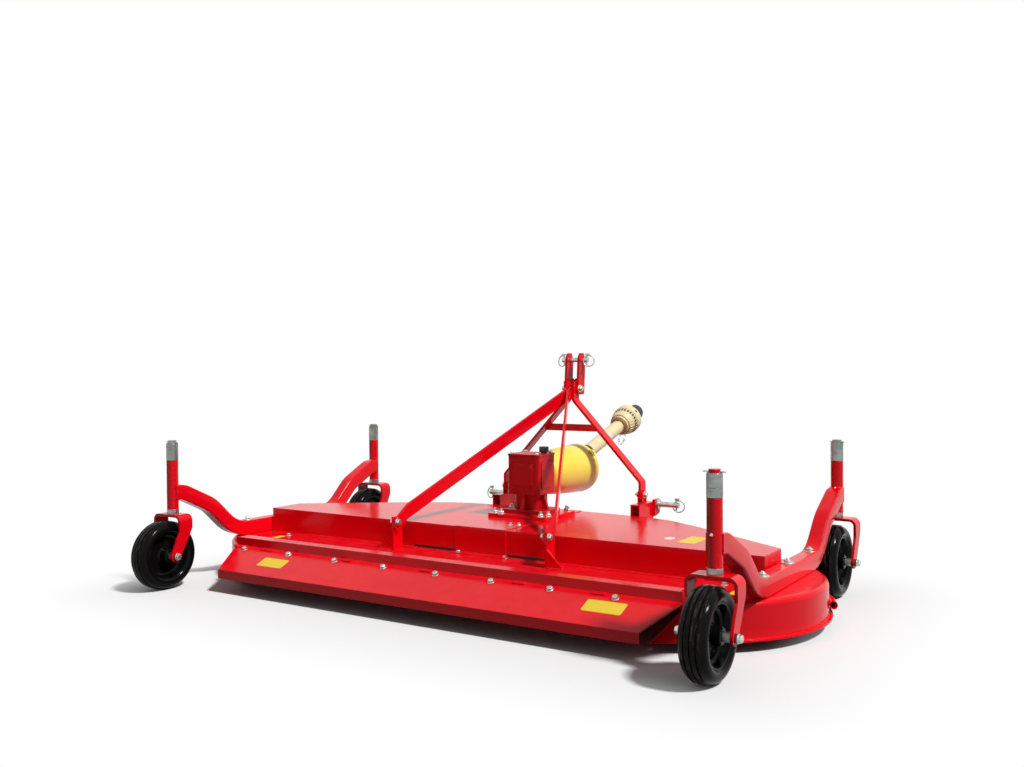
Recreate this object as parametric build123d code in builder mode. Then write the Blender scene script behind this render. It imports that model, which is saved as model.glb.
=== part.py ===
from build123d import *
import os
from math import acos, atan2, cos, degrees, hypot, radians, sin, sqrt

# A rear-discharge finishing mower for a tractor's three-point hitch, in millimetres.
# +X is the machine's right, +Y the way it is pulled, +Z is up and the ground is z = 0.
# The origin is on the ground, below the middle of the machine's length and width.

os.makedirs("parts", exist_ok=True)

# Casters
wheel_radius = 125.0
wheel_width = 80.0
stem_x = 1060.0
stem_reach = 566.0
trail = 45.0
stem_radius = 15.5
tube_radius = 21.0
tube_bottom = 289.0
tube_top = 468.0
stem_cap_top = 542.0
collar_height = 18.0
sleeve_height = 61.0
fork_width = 145.0
fork_plate = 9.0
fork_strap = 58.0
fork_bend = 20.0
lug_radius = 20.5
axle_radius = 8.0
spacer_radius = 13.0
hub_radius = 24.0
nut_radius = 12.0
nut_height = 8.0

# Drive shaft, along its own axis from the rear universal joint
shaft_slope = 17.9
joint_lead = 512.0
joint_height = 390.0
front_joint = 585.0
end_yoke_length = 82.0
end_bore_radius = 17.5
end_bore_length = 34.0

# Fits
fit = 0.15
seat = 0.3

# Where the outer spindles stand, so that the origin is below the middle of the length
shaft_cos = cos(radians(shaft_slope))
shaft_sin = sin(radians(shaft_slope))
rear_reach = stem_reach + trail + wheel_radius
end_collar_radius = 34.0
front_reach = joint_lead + (front_joint + end_yoke_length) * shaft_cos + end_collar_radius * shaft_sin
row_y = (rear_reach - front_reach) / 2

# Deck
spindle_x = 765.0
centre_lead = 245.0
blade_radius = 394.0
tip_clearance = 12.0
deck_wall = 5.0
deck_top = 145.0
deck_bottom = 32.0
deck_round = 18.0
lip = 12.0
lip_thickness = 6.0
tail_x = 810.0
tail_reach = 455.0
discharge_x = 925.0
deck_rear = 400.0
lobe_radius = blade_radius + tip_clearance + deck_wall

# Rear beam and discharge flap
beam_half = 889.0
beam_depth = 45.0
beam_height = 30.0
flap_plate = 4.0
flap_top_half = 902.0
flap_low_half = 834.0
flap_reach = 553.0
flap_low = 84.0
flap_lip = 32.0

# Belt covers
cover_wall = 3.0
cover_top = 237.0
cover_rear = -96.0
cover_end = 1029.0
cover_end_front = 55.0
centre_half = 115.0

# Blades and spindles
blade_width = 64.0
blade_thickness = 8.0
blade_level = 52.0
spindle_radius = 15.0
housing_radius = 46.0
housing_flange = 88.0
housing_bottom = 82.0

# Side frames
bar_width = 50.0
bar_height = 56.0
bar_top = deck_top + bar_height

# Hitch
lower_pin_radius = 11.0
lower_pin_tip = 441.0
lower_pin_root = 350.0
lower_pin_lead = 617.0
lower_pin_height = 262.0
pin_collar = 10.0
hitch_tube_inner = 300.0
hitch_tube_width = 38.0
hitch_tube_wall = 5.0
hitch_tube_bottom = 215.0
hitch_tube_top = 272.0
hitch_tube_rear = 480.0
hitch_tube_front = 612.0
ear_height = 304.0
leg_lead = 556.0
leg_width = 44.0
leg_plate = 10.0
leg_foot_x = 313.0
leg_knee = 354.0
leg_bend = 668.0
mast_bolt = 715.0
mast_bolt_radius = 8.0
mast_bolt_lead = 566.0
mast_plate = 10.0
mast_width = 50.0
mast_bottom = 690.0
mast_top = 858.0
mast_lead = 590.0
top_pin_radius = 9.5
top_pin_height = 830.0
brace_plate = 9.0
brace_width = 44.0
brace_foot_x = 320.0
brace_foot_lead = -163.0
brace_foot_height = 245.0
bracket_plate = 8.0
bracket_width = 52.0

# Gearbox and its shield
gearbox_width = 137.0
gearbox_length = 122.0
gearbox_bottom = 325.0
gearbox_top = 470.0
base_plate = 16.0
base_half = 130.0
shield_radius = 98.0
shield_wall = 3.0
shield_rear = 306.0
shield_mouth = 607.0


def write(part, name):
    """Name a finished piece and write it to its own file."""
    part.label = name
    export_step(part, f"parts/{name}.step")


def outline(plane, points, rounding=0.0):
    """A closed polygon on a plane, with every corner rounded alike."""
    with BuildSketch(plane) as shape:
        Polygon(*points, align=None)
        if rounding:
            fillet(shape.vertices(), rounding)
    return shape.sketch


def strap(plane, points, width, rounding=0.0):
    """A strip of one width along a bent line on a plane, its bends rounded."""
    with BuildSketch(plane) as shape:
        with BuildLine() as line:
            if rounding:
                FilletPolyline(*points, radius=rounding)
            else:
                Polyline(*points)
        trace(line_width=width)
    return shape.sketch


def disc(plane, radius, centre=(0, 0)):
    """A round profile on a plane."""
    with BuildSketch(plane) as shape:
        with Locations(centre):
            Circle(radius)
    return shape.sketch


def side(x):
    """The plane across the machine at x, drawn in (y, z), facing +X."""
    return Plane.YZ.offset(x)


def front(y):
    """The plane at y, drawn in (x, z), facing -Y."""
    return Plane.XZ.offset(-y)


def level(z):
    """The plane at height z, drawn in (x, y)."""
    return Plane.XY.offset(z)


# Deck: three lobes round the spindles, drawn in plan from the right tail forward
def deck_plan(z, grow=0.0):
    radius = lobe_radius
    reach = hypot(tail_x - spindle_x, tail_reach)
    tail_angle = atan2(-tail_reach, tail_x - spindle_x) + acos(radius / reach)
    front_angle = atan2(spindle_x, centre_lead)
    middle_angle = (tail_angle + front_angle) / 2

    def rim(angle, x, lead):
        return (x + radius * cos(angle), row_y + lead + radius * sin(angle))

    with BuildSketch(level(z)) as plan:
        with BuildLine():
            Line((0, row_y - tail_reach), (tail_x, row_y - tail_reach))
            Line((tail_x, row_y - tail_reach), rim(tail_angle, spindle_x, 0))
            ThreePointArc(
                rim(tail_angle, spindle_x, 0),
                rim(middle_angle, spindle_x, 0),
                rim(front_angle, spindle_x, 0),
            )
            Line(rim(front_angle, spindle_x, 0), rim(front_angle, 0, centre_lead))
            ThreePointArc(
                rim(front_angle, 0, centre_lead),
                rim(radians(82), 0, centre_lead),
                rim(radians(90), 0, centre_lead),
            )
            mirror(about=Plane.YZ)
        make_face()
        if grow:
            offset(amount=grow, kind=Kind.INTERSECTION)
    return plan.sketch


with BuildPart() as deck_shell:
    extrude(deck_plan(deck_bottom), amount=deck_top - deck_bottom)
    fillet(deck_shell.edges().group_by(Axis.Z)[-1], deck_round)
    offset(amount=-deck_wall, openings=deck_shell.faces().sort_by(Axis.Z)[0])
    extrude(deck_plan(deck_bottom, lip) - deck_plan(deck_bottom, -deck_wall), amount=lip_thickness)
    # The rear wall and the top behind the beam are cut away between the two tails
    tail_span = [
        (-discharge_x, deck_top + lip),
        (-tail_x, deck_bottom - lip),
        (tail_x, deck_bottom - lip),
        (discharge_x, deck_top + lip),
    ]
    extrude(
        outline(front(row_y - deck_rear), tail_span),
        amount=tail_reach,
        mode=Mode.SUBTRACT,
    )
write(deck_shell.part, "deck_shell")

# Spindle housings, bolted up under the deck, and a blade on each
spindles = [
    # name, x, lead of the outer row
    ("left", -spindle_x, 0.0),
    ("centre", 0.0, centre_lead),
    ("right", spindle_x, 0.0),
]
under_deck = deck_top - deck_wall
with BuildPart() as spindle_housings:
    for name, x, lead in spindles:
        spot = (x, row_y + lead)
        extrude(disc(level(under_deck), housing_flange, spot), amount=-10)
        extrude(disc(level(under_deck), housing_radius, spot), amount=housing_bottom - under_deck)
        extrude(
            disc(level(under_deck), spindle_radius + seat, spot),
            amount=housing_bottom - under_deck,
            mode=Mode.SUBTRACT,
        )
write(spindle_housings.part, "spindle_housings")

for name, x, lead in spindles:
    y = row_y + lead
    with BuildPart() as blade:
        half = sqrt(blade_radius**2 - (blade_width / 2) ** 2)
        bar = [
            (x - half, y - blade_width / 2),
            (x + half, y - blade_width / 2),
            (x + half, y + blade_width / 2),
            (x - half, y + blade_width / 2),
        ]
        extrude(outline(level(blade_level), bar), amount=blade_thickness)
        extrude(disc(level(blade_level - 6), 30, (x, y)), amount=housing_bottom - blade_level + 5.7)
        extrude(
            disc(level(blade_level), spindle_radius, (x, y)),
            amount=under_deck - blade_level - 1,
        )
    write(blade.part, f"blade_{name}")

# Rear beam across the deck's rear edge, and the flap that hangs from it
with BuildPart() as rear_beam:
    beam = [
        (row_y - deck_rear, deck_top),
        (row_y - deck_rear + beam_depth, deck_top),
        (row_y - deck_rear + beam_depth, deck_top + beam_height),
        (row_y - deck_rear, deck_top + beam_height),
    ]
    extrude(outline(side(0), beam), amount=beam_half, both=True)
write(rear_beam.part, "rear_beam")

flap_slope = atan2(deck_top - flap_low, flap_reach - deck_rear)
with BuildPart() as rear_flap:
    rear_edge = row_y - deck_rear - seat
    low_edge = row_y - flap_reach
    rise = flap_plate / cos(flap_slope)
    section = [
        (rear_edge, deck_top + beam_height),
        (rear_edge - flap_plate, deck_top + beam_height),
        (rear_edge - flap_plate, deck_top),
        (low_edge, flap_low),
        (low_edge, flap_low - flap_lip),
        (low_edge + flap_plate, flap_low - flap_lip),
        (low_edge + flap_plate, flap_low - rise / 2),
        (rear_edge, deck_top - rise),
    ]
    extrude(outline(side(0), section), amount=flap_top_half, both=True)
    # Both ends are cut on the slant
    for hand in (-1, 1):
        slant = [
            (hand * flap_top_half, row_y - deck_rear),
            (hand * flap_low_half, row_y - flap_reach),
            (hand * flap_low_half, row_y - flap_reach - 20),
            (hand * (flap_top_half + 20), row_y - flap_reach - 20),
            (hand * (flap_top_half + 20), row_y - deck_rear),
        ]
        extrude(outline(level(0), slant), amount=deck_top + beam_height, mode=Mode.SUBTRACT)
write(rear_flap.part, "rear_flap")

# Belt covers: open boxes of folded sheet that stand on the deck
cover_front = [
    # x, lead, along the front edge from the end to the middle
    (cover_end, cover_end_front),
    (643.0, 320.0),
    (505.0, 400.0),
    (414.0, 430.0),
    (centre_half, 450.0),
]


def cover(points):
    """A folded box of sheet, open below, over the plan that the points give."""
    with BuildPart() as shell:
        extrude(outline(level(deck_top), points), amount=cover_top - deck_top)
        offset(amount=-cover_wall, openings=shell.faces().sort_by(Axis.Z)[0])
    return shell.part


for name, hand in (("left", -1), ("right", 1)):
    plan = [(hand * x, row_y + lead) for x, lead in cover_front]
    plan.append((hand * (centre_half + seat), row_y + cover_front[-1][1]))
    plan[-2] = (hand * (centre_half + seat), row_y + cover_front[-1][1])
    plan = plan[:-1]
    plan.append((hand * (centre_half + seat), row_y + cover_rear))
    plan.append((hand * cover_end, row_y + cover_rear))
    write(cover(plan), f"cover_{name}")

centre_plan = [
    (-centre_half, row_y + cover_rear),
    (centre_half, row_y + cover_rear),
    (centre_half, row_y + cover_front[-1][1]),
    (-centre_half, row_y + cover_front[-1][1]),
]
write(cover(centre_plan), "cover_centre")

# Side frames: a bent box bar with a stem tube at each end
bar_line = [
    # lead ahead of the spindle row, height of the bar's middle
    (stem_reach, 350.0),
    (stem_reach - 36, 348.0),
    (398.0, 284.0),
    (282.0, deck_top + bar_height / 2),
    (-282.0, deck_top + bar_height / 2),
    (-398.0, 284.0),
    (-stem_reach + 36, 348.0),
    (-stem_reach, 350.0),
]
for name, hand in (("left", -1), ("right", 1)):
    x = hand * stem_x
    with BuildPart() as frame:
        line = [(row_y + lead, z) for lead, z in bar_line]
        extrude(strap(side(x), line, bar_height), amount=bar_width / 2, both=True)
        for reach in (-stem_reach, stem_reach):
            spot = (x, row_y + reach)
            extrude(disc(level(tube_bottom), tube_radius, spot), amount=tube_top - tube_bottom)
        # The bar ends at the tubes' middles, and the stems run clear through
        for end in (-1, 1):
            beyond = [
                (row_y + end * stem_reach, 0),
                (row_y + end * (stem_reach + bar_height), 0),
                (row_y + end * (stem_reach + bar_height), tube_top),
                (row_y + end * stem_reach, tube_top),
            ]
            blank = outline(side(x), beyond)
            tubes = disc(level(tube_bottom), tube_radius, (x, row_y + end * stem_reach))
            extrude(blank, amount=bar_width, both=True, mode=Mode.SUBTRACT)
            extrude(tubes, amount=tube_top - tube_bottom)
        for reach in (-stem_reach, stem_reach):
            bore = disc(level(tube_bottom), stem_radius + fit, (x, row_y + reach))
            extrude(bore, amount=tube_top - tube_bottom, mode=Mode.SUBTRACT)
    write(frame.part, f"side_frame_{name}")

# Casters: a fork with its stem, an axle bolt with spacers, and a wheel
axle_height = wheel_radius
casters = [
    # name, side, end
    ("front_left", -1, 1),
    ("front_right", 1, 1),
    ("rear_left", -1, -1),
    ("rear_right", 1, -1),
]
fork_top = tube_bottom - collar_height
for name, hand, end in casters:
    x = hand * stem_x
    y = row_y + end * stem_reach
    axle_y = y - trail
    axle_axis = Axis((x, axle_y, axle_height), (1, 0, 0))
    arm_x = fork_width / 2
    with BuildPart() as fork:
        strap_line = [
            (x - arm_x + fork_plate / 2, axle_height - lug_radius),
            (x - arm_x + fork_plate / 2, fork_top - fork_plate / 2),
            (x + arm_x - fork_plate / 2, fork_top - fork_plate / 2),
            (x + arm_x - fork_plate / 2, axle_height - lug_radius),
        ]
        bent = strap(front(y), strap_line, fork_plate, fork_bend)
        extrude(bent, amount=trail + lug_radius)
        extrude(bent, amount=-fork_strap / 2)
        # Seen from the side, each arm narrows and sweeps back to a round lug at the axle
        with BuildSketch(side(x)) as arm:
            with BuildLine():
                Polyline(
                    (y - fork_strap / 2, fork_top),
                    (y + fork_strap / 2, fork_top),
                    (y + fork_strap / 2, fork_top - 50),
                    (axle_y + lug_radius * 0.94, axle_height - lug_radius * 0.34),
                    (axle_y - lug_radius * 0.94, axle_height + lug_radius * 0.34),
                    (y - fork_strap / 2, fork_top - 62),
                    (y - fork_strap / 2, fork_top),
                )
            make_face()
            with Locations((axle_y, axle_height)):
                Circle(lug_radius)
        extrude(arm.sketch, amount=fork_width, both=True, mode=Mode.INTERSECT)
        bolt_hole = disc(side(x), axle_radius + fit, (axle_y, axle_height))
        extrude(bolt_hole, amount=fork_width, both=True, mode=Mode.SUBTRACT)
        stem = [
            (0, fork_top - fork_plate),
            (tube_radius, fork_top - fork_plate),
            (tube_radius, tube_bottom - seat),
            (stem_radius, tube_bottom - seat),
            (stem_radius, tube_top + seat),
            (tube_radius, tube_top + seat),
            (tube_radius, tube_top + seat + sleeve_height),
            (stem_radius, tube_top + seat + sleeve_height),
            (stem_radius, stem_cap_top),
            (0, stem_cap_top),
        ]
        revolve(outline(Plane((x, y, 0), x_dir=(1, 0, 0), z_dir=(0, -1, 0)), stem), Axis((x, y, 0), (0, 0, 1)))
    write(fork.part, f"fork_{name}")

    with BuildPart() as axle:
        inner = arm_x - fork_plate - seat
        hub = wheel_width / 2 + seat
        profile = [
            (-arm_x - nut_height, 0),
            (-arm_x - nut_height, nut_radius),
            (-arm_x, nut_radius),
            (-arm_x, axle_radius),
            (-inner, axle_radius),
            (-inner, spacer_radius),
            (-hub, spacer_radius),
            (-hub, axle_radius),
            (hub, axle_radius),
            (hub, spacer_radius),
            (inner, spacer_radius),
            (inner, axle_radius),
            (arm_x, axle_radius),
            (arm_x, nut_radius),
            (arm_x + nut_height, nut_radius),
            (arm_x + nut_height, 0),
        ]
        plane = Plane((x, axle_y, axle_height), x_dir=(1, 0, 0), z_dir=(0, -1, 0))
        revolve(outline(plane, profile), axle_axis)
    write(axle.part, f"axle_{name}")

    with BuildPart() as wheel:
        half = wheel_width / 2
        profile = [
            (-half, axle_radius + seat),
            (half, axle_radius + seat),
            (half, hub_radius),
            (6, hub_radius + 4),
            (6, 70),
            (half - 12, 78),
            (half - 10, 86),
            (half - 2, 96),
            (half, 104),
            (half - 4, wheel_radius - 9),
            (half - 14, wheel_radius - 1),
            (half - 20, wheel_radius),
            (-half + 20, wheel_radius),
            (-half + 14, wheel_radius - 1),
            (-half + 4, wheel_radius - 9),
            (-half, 104),
            (-half + 2, 96),
            (-half + 10, 86),
            (-half + 12, 78),
            (-6, 70),
            (-6, hub_radius + 4),
            (-half, hub_radius),
        ]
        revolve(outline(plane, profile), axle_axis)
    write(wheel.part, f"wheel_{name}")

# Hitch brackets: an open box tube on a post, with ears for the frame's foot and a pin plate
for name, hand in (("left", -1), ("right", 1)):
    inner = hitch_tube_inner
    outer = hitch_tube_inner + hitch_tube_width
    with BuildPart() as hitch:
        tube = [
            (hand * inner, hitch_tube_bottom),
            (hand * outer, hitch_tube_bottom),
            (hand * outer, hitch_tube_top),
            (hand * inner, hitch_tube_top),
        ]
        wall = hitch_tube_wall
        hollow = [
            (hand * (inner + wall), hitch_tube_bottom + wall),
            (hand * (outer - wall), hitch_tube_bottom + wall),
            (hand * (outer - wall), hitch_tube_top - wall),
            (hand * (inner + wall), hitch_tube_top - wall),
        ]
        length = hitch_tube_front - hitch_tube_rear
        extrude(outline(front(row_y + hitch_tube_front), tube), amount=length)
        extrude(outline(front(row_y + hitch_tube_front), hollow), amount=length, mode=Mode.SUBTRACT)
        # The post under the tube stands on the deck
        post = [
            (row_y + hitch_tube_rear + 10, deck_top),
            (row_y + hitch_tube_rear + 80, deck_top),
            (row_y + hitch_tube_front - 5, hitch_tube_bottom),
            (row_y + hitch_tube_rear + 5, hitch_tube_bottom),
        ]
        extrude(outline(side(hand * (inner + hitch_tube_width / 2)), post), amount=hitch_tube_width / 2, both=True)
        # Two ears take the foot of the frame's leg
        for near in (leg_plate / 2 + seat, -leg_plate / 2 - seat - leg_plate * 0.6):
            face = hand * leg_foot_x + near
            with BuildSketch(side(face)) as ear:
                with Locations((row_y + leg_lead, ear_height)):
                    Circle(18)
                with Locations((row_y + leg_lead, (ear_height + hitch_tube_top) / 2)):
                    Rectangle(36, ear_height - hitch_tube_top)
            extrude(ear.sketch, amount=leg_plate * 0.6)
        # The pin plate reaches out to the root of the lower pin
        plate = [
            (row_y + lower_pin_lead - 22, hitch_tube_bottom),
            (row_y + lower_pin_lead + 22, hitch_tube_bottom + 12),
            (row_y + lower_pin_lead + 22, lower_pin_height + 20),
            (row_y + lower_pin_lead - 22, lower_pin_height + 20),
        ]
        plate_x = lower_pin_root - 12
        extrude(outline(side(hand * plate_x), plate, 6), amount=hand * 12)
        web = [
            (row_y + hitch_tube_front - 12, hitch_tube_bottom),
            (row_y + hitch_tube_front + 10, hitch_tube_bottom),
            (row_y + hitch_tube_front + 10, hitch_tube_top),
            (row_y + hitch_tube_front - 12, hitch_tube_top),
        ]
        extrude(outline(side(hand * (outer - 2)), web), amount=hand * (plate_x - outer + 4))
    write(hitch.part, f"hitch_bracket_{name}")

with BuildPart() as hitch_pins:
    for hand in (-1, 1):
        spot = (row_y + lower_pin_lead, lower_pin_height)
        pin = disc(side(hand * lower_pin_root), lower_pin_radius, spot)
        extrude(pin, amount=hand * (lower_pin_tip - lower_pin_root))
        collar = disc(side(hand * lower_pin_root), 19, spot)
        extrude(collar, amount=hand * pin_collar)
write(hitch_pins.part, "hitch_pins")

# A-frame: two bent flat legs, a tie between them, and the mast plates
leg_x = 4 + brace_plate + leg_plate / 2
for name, hand in (("left", -1), ("right", 1)):
    with BuildPart() as leg:
        line = [
            (hand * leg_x, mast_bolt + 30),
            (hand * leg_x, leg_bend),
            (hand * leg_foot_x, leg_knee),
            (hand * leg_foot_x, ear_height - 16),
        ]
        extrude(strap(front(row_y + leg_lead), line, leg_plate, 18), amount=leg_width / 2, both=True)
        for lead, height in ((mast_bolt_lead, mast_bolt), (leg_lead, ear_height)):
            hole = disc(side(0), mast_bolt_radius + fit, (row_y + lead, height))
            extrude(hole, amount=hand * stem_x, mode=Mode.SUBTRACT)
    write(leg.part, f"a_frame_leg_{name}")

mast_x = leg_x + leg_plate / 2
with BuildPart() as mast_plates:
    for hand in (-1, 1):
        plate = [
            (row_y + mast_lead - mast_width / 2 - 12, mast_bottom),
            (row_y + mast_lead + mast_width / 2 - 12, mast_bottom),
            (row_y + mast_lead + mast_width / 2, mast_top - 30),
            (row_y + mast_lead + mast_width / 2 - 14, mast_top),
            (row_y + mast_lead - mast_width / 2 + 14, mast_top),
            (row_y + mast_lead - mast_width / 2, mast_top - 20),
        ]
        extrude(outline(side(hand * mast_x), plate, 6), amount=hand * mast_plate)
    for lead, height, radius in (
        (mast_lead, top_pin_height, top_pin_radius),
        (mast_bolt_lead, mast_bolt, mast_bolt_radius),
    ):
        hole = disc(side(0), radius + fit, (row_y + lead, height))
        extrude(hole, amount=stem_x, both=True, mode=Mode.SUBTRACT)
write(mast_plates.part, "mast_plates")

with BuildPart() as mast_pins:
    for lead, height, radius, beyond in (
        (mast_lead, top_pin_height, top_pin_radius, 26),
        (mast_bolt_lead, mast_bolt, mast_bolt_radius, 14),
    ):
        spot = (row_y + lead, height)
        extrude(disc(side(0), radius, spot), amount=mast_x + mast_plate + beyond, both=True)
write(mast_pins.part, "mast_pins")

tie_height = 556.0
tie_depth = 28.0
leg_run = (leg_foot_x - leg_x) / (leg_bend - leg_knee)
leg_half = leg_plate / 2 * hypot(leg_run, 1)


def leg_inside(z):
    """Half the gap between the two legs at height z."""
    return leg_x + (leg_bend - z) * leg_run - leg_half


with BuildPart() as cross_tie:
    low = tie_height - tie_depth / 2
    high = tie_height + tie_depth / 2
    tie = [
        (-leg_inside(low), low),
        (leg_inside(low), low),
        (leg_inside(high), high),
        (-leg_inside(high), high),
    ]
    extrude(outline(front(row_y + leg_lead + leg_width / 2 - 8), tie), amount=8)
write(cross_tie.part, "cross_tie")

# Braces from the mast back to the deck: flat bars on edge, bent to lie flat at both ends
brace_drop = mast_bolt - brace_foot_height
with BuildPart() as braces:
    for hand in (-1, 1):
        top_x = hand * (4 + brace_plate / 2)
        foot_x = hand * (brace_foot_x - brace_plate / 2)
        plan = [
            (top_x, row_y + leg_lead + 40),
            (top_x, row_y + leg_lead - 46),
            (foot_x, row_y + brace_foot_lead + 50),
            (foot_x, row_y + brace_foot_lead - 26),
        ]
        elevation = [
            (row_y + leg_lead + 40, mast_bolt + 22),
            (row_y + brace_foot_lead - 26, brace_foot_height - 17),
        ]
        with BuildPart(mode=Mode.PRIVATE) as bar:
            extrude(strap(level(0), plan, brace_plate, 14), amount=mast_top)
            extrude(strap(side(0), elevation, brace_width), amount=hand * stem_x, mode=Mode.INTERSECT)
            for lead, height in (
                (mast_bolt_lead, mast_bolt),
                (brace_foot_lead, brace_foot_height),
            ):
                hole = disc(side(0), mast_bolt_radius + fit, (row_y + lead, height))
                extrude(hole, amount=hand * stem_x, mode=Mode.SUBTRACT)
        add(bar.part)
write(braces.part, "braces")

with BuildPart() as rear_brackets:
    for hand in (-1, 1):
        upright = [
            (row_y + brace_foot_lead - bracket_width / 2, deck_top),
            (row_y + brace_foot_lead + bracket_width / 2, deck_top),
            (row_y + brace_foot_lead + bracket_width / 2, brace_foot_height + 20),
            (row_y + brace_foot_lead - bracket_width / 2, brace_foot_height + 20),
        ]
        extrude(outline(side(hand * brace_foot_x), upright), amount=hand * bracket_plate)
        gusset = [
            (hand * brace_foot_x, deck_top),
            (hand * (brace_foot_x + 70), deck_top),
            (hand * (brace_foot_x + bracket_plate), deck_top + 60),
            (hand * brace_foot_x, deck_top + 60),
        ]
        extrude(outline(front(row_y + brace_foot_lead - bracket_width / 2 + bracket_plate), gusset), amount=bracket_plate)
write(rear_brackets.part, "rear_brackets")

# Gearbox on its base plate over the centre spindle
gear_y = row_y + centre_lead
with BuildPart() as gearbox_base:
    with BuildSketch(level(cover_top)) as sheet:
        with Locations((0, gear_y)):
            RectangleRounded(base_half * 2, base_half * 1.7, 10)
    extrude(sheet.sketch, amount=base_plate)
write(gearbox_base.part, "gearbox_base")

base_top = cover_top + base_plate
with BuildPart() as gearbox:
    with BuildSketch(level(base_top)) as foot:
        with Locations((0, gear_y)):
            RectangleRounded(gearbox_width + 40, gearbox_length + 20, 14)
    extrude(foot.sketch, amount=14)
    with BuildSketch(level(base_top)) as neck:
        with Locations((0, gear_y)):
            RectangleRounded(gearbox_width * 0.72, gearbox_length * 0.8, 20)
    extrude(neck.sketch, amount=gearbox_bottom - base_top)
    with BuildSketch(level(gearbox_bottom)) as body:
        with Locations((0, gear_y)):
            RectangleRounded(gearbox_width, gearbox_length, 10)
    extrude(body.sketch, amount=gearbox_top - gearbox_bottom)
    boss = disc(front(gear_y + gearbox_length / 2), 50, (0, joint_height))
    extrude(boss, amount=-14)
write(gearbox.part, "gearbox")

with BuildPart() as gearbox_lid:
    with BuildSketch(level(gearbox_top)) as lid:
        with Locations((0, gear_y)):
            RectangleRounded(gearbox_width + 4, gearbox_length + 4, 10)
    extrude(lid.sketch, amount=6)
write(gearbox_lid.part, "gearbox_lid")

# Shield bell round the input shaft
bell_start = gear_y + gearbox_length / 2
shield_plane = Plane((0, 0, joint_height), x_dir=(0, 1, 0), z_dir=(1, 0, 0))
shield_axis = Axis((0, 0, joint_height), (0, 1, 0))
with BuildPart() as shaft_shield:
    bell = [
        (bell_start, 50 + seat),
        (bell_start, shield_radius - 22),
        (bell_start + 50, shield_radius - 6),
        (bell_start + 130, shield_radius),
        (row_y + shield_mouth, shield_radius),
        (row_y + shield_mouth, shield_radius - shield_wall),
        (bell_start + 130, shield_radius - shield_wall),
        (bell_start + 51, shield_radius - 6 - shield_wall),
        (bell_start + shield_wall, shield_radius - 24),
        (bell_start + shield_wall, 50 + seat),
    ]
    revolve(outline(shield_plane, bell), shield_axis)
write(shaft_shield.part, "shaft_shield")

# Drive shaft: pieces turned about its own axis, from the rear joint at s = 0
joint = (0, row_y + joint_lead, joint_height)
shaft_dir = (0, shaft_cos, shaft_sin)
shaft_plane = Plane(joint, x_dir=shaft_dir, z_dir=(1, 0, 0))
shaft_axis = Axis(joint, shaft_dir)
cross_radius = 9.0
cross_half = 40.0
cross_block = 14.0
cross_collar = 12.0
ear_thickness = 11.0
ear_radius = 19.0
ear_inner = cross_half - ear_thickness
yoke_hub = 26.0


def yoke(plane, start, facing, ear_side):
    """The two ears and the crotch of a fork yoke, on a plane whose x runs along its shaft.

    The joint is at x = start, facing is +1 where the hub lies beyond it and -1 before it,
    and ear_side is 'across' where the ears stand along the plane's normal, else 'upright'.
    """
    reach = 44.0
    with BuildPart(mode=Mode.PRIVATE) as piece:
        if ear_side == "across":
            shape_plane = plane
        else:
            shape_plane = Plane(plane.origin, x_dir=plane.x_dir, z_dir=plane.y_dir)
        for sign in (-1, 1):
            with BuildSketch(shape_plane.offset(sign * ear_inner)) as ear:
                with Locations((start, 0)):
                    Circle(ear_radius)
                with Locations((start + facing * reach / 2, 0)):
                    Rectangle(reach, ear_radius * 2)
            extrude(ear.sketch, amount=sign * ear_thickness)
        ear_tops = cross_half
        with BuildSketch(shape_plane.offset(-ear_tops)) as crotch:
            with Locations((start + facing * (reach - 6), 0)):
                Rectangle(14, ear_radius * 2)
        extrude(crotch.sketch, amount=2 * ear_tops)
        with BuildSketch(shape_plane.offset(-ear_tops)) as hole:
            with Locations((start, 0)):
                Circle(cross_radius + fit)
        extrude(hole.sketch, amount=2 * ear_tops, mode=Mode.SUBTRACT)
    return piece.part


input_plane = Plane(joint, x_dir=(0, 1, 0), z_dir=(1, 0, 0))
input_axis = Axis(joint, (0, 1, 0))
with BuildPart() as input_yoke:
    add(yoke(input_plane, 0, -1, "across"))
    box_front = gear_y + gearbox_length / 2 + 14 - joint[1]
    stub = [
        (box_front + seat, 0),
        (box_front + seat, 17.5),
        (-110, 17.5),
        (-110, 30),
        (-36, 30),
        (-36, 0),
    ]
    revolve(outline(input_plane, stub), input_axis)
write(input_yoke.part, "input_yoke")


def cross(plane, start):
    """The cross of a universal joint, its pins along the plane's normal and its y."""
    with BuildPart(mode=Mode.PRIVATE) as piece:
        with BuildSketch(plane.offset(-cross_block)) as block:
            with Locations((start, 0)):
                Rectangle(2 * cross_block, 2 * cross_block)
        extrude(block.sketch, amount=2 * cross_block)
        for shape_plane in (plane, Plane(plane.origin, x_dir=plane.x_dir, z_dir=plane.y_dir)):
            for radius, half in ((cross_radius, cross_half), (cross_collar, ear_inner - seat)):
                with BuildSketch(shape_plane.offset(-half)) as pin:
                    with Locations((start, 0)):
                        Circle(radius)
                extrude(pin.sketch, amount=2 * half)
    return piece.part


write(cross(shaft_plane, 0), "joint_cross_rear")
write(cross(shaft_plane, front_joint), "joint_cross_front")

outer_tube = 19.0
inner_bar = 15.0
with BuildPart() as shaft_rear:
    add(yoke(shaft_plane, 0, 1, "upright"))
    sleeve = [
        (36, 0),
        (36, yoke_hub),
        (96, yoke_hub),
        (96, outer_tube),
        (430, outer_tube),
        (430, inner_bar + seat),
        (160, inner_bar + seat),
        (160, 0),
    ]
    revolve(outline(shaft_plane, sleeve), shaft_axis)
write(shaft_rear.part, "shaft_rear")

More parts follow.
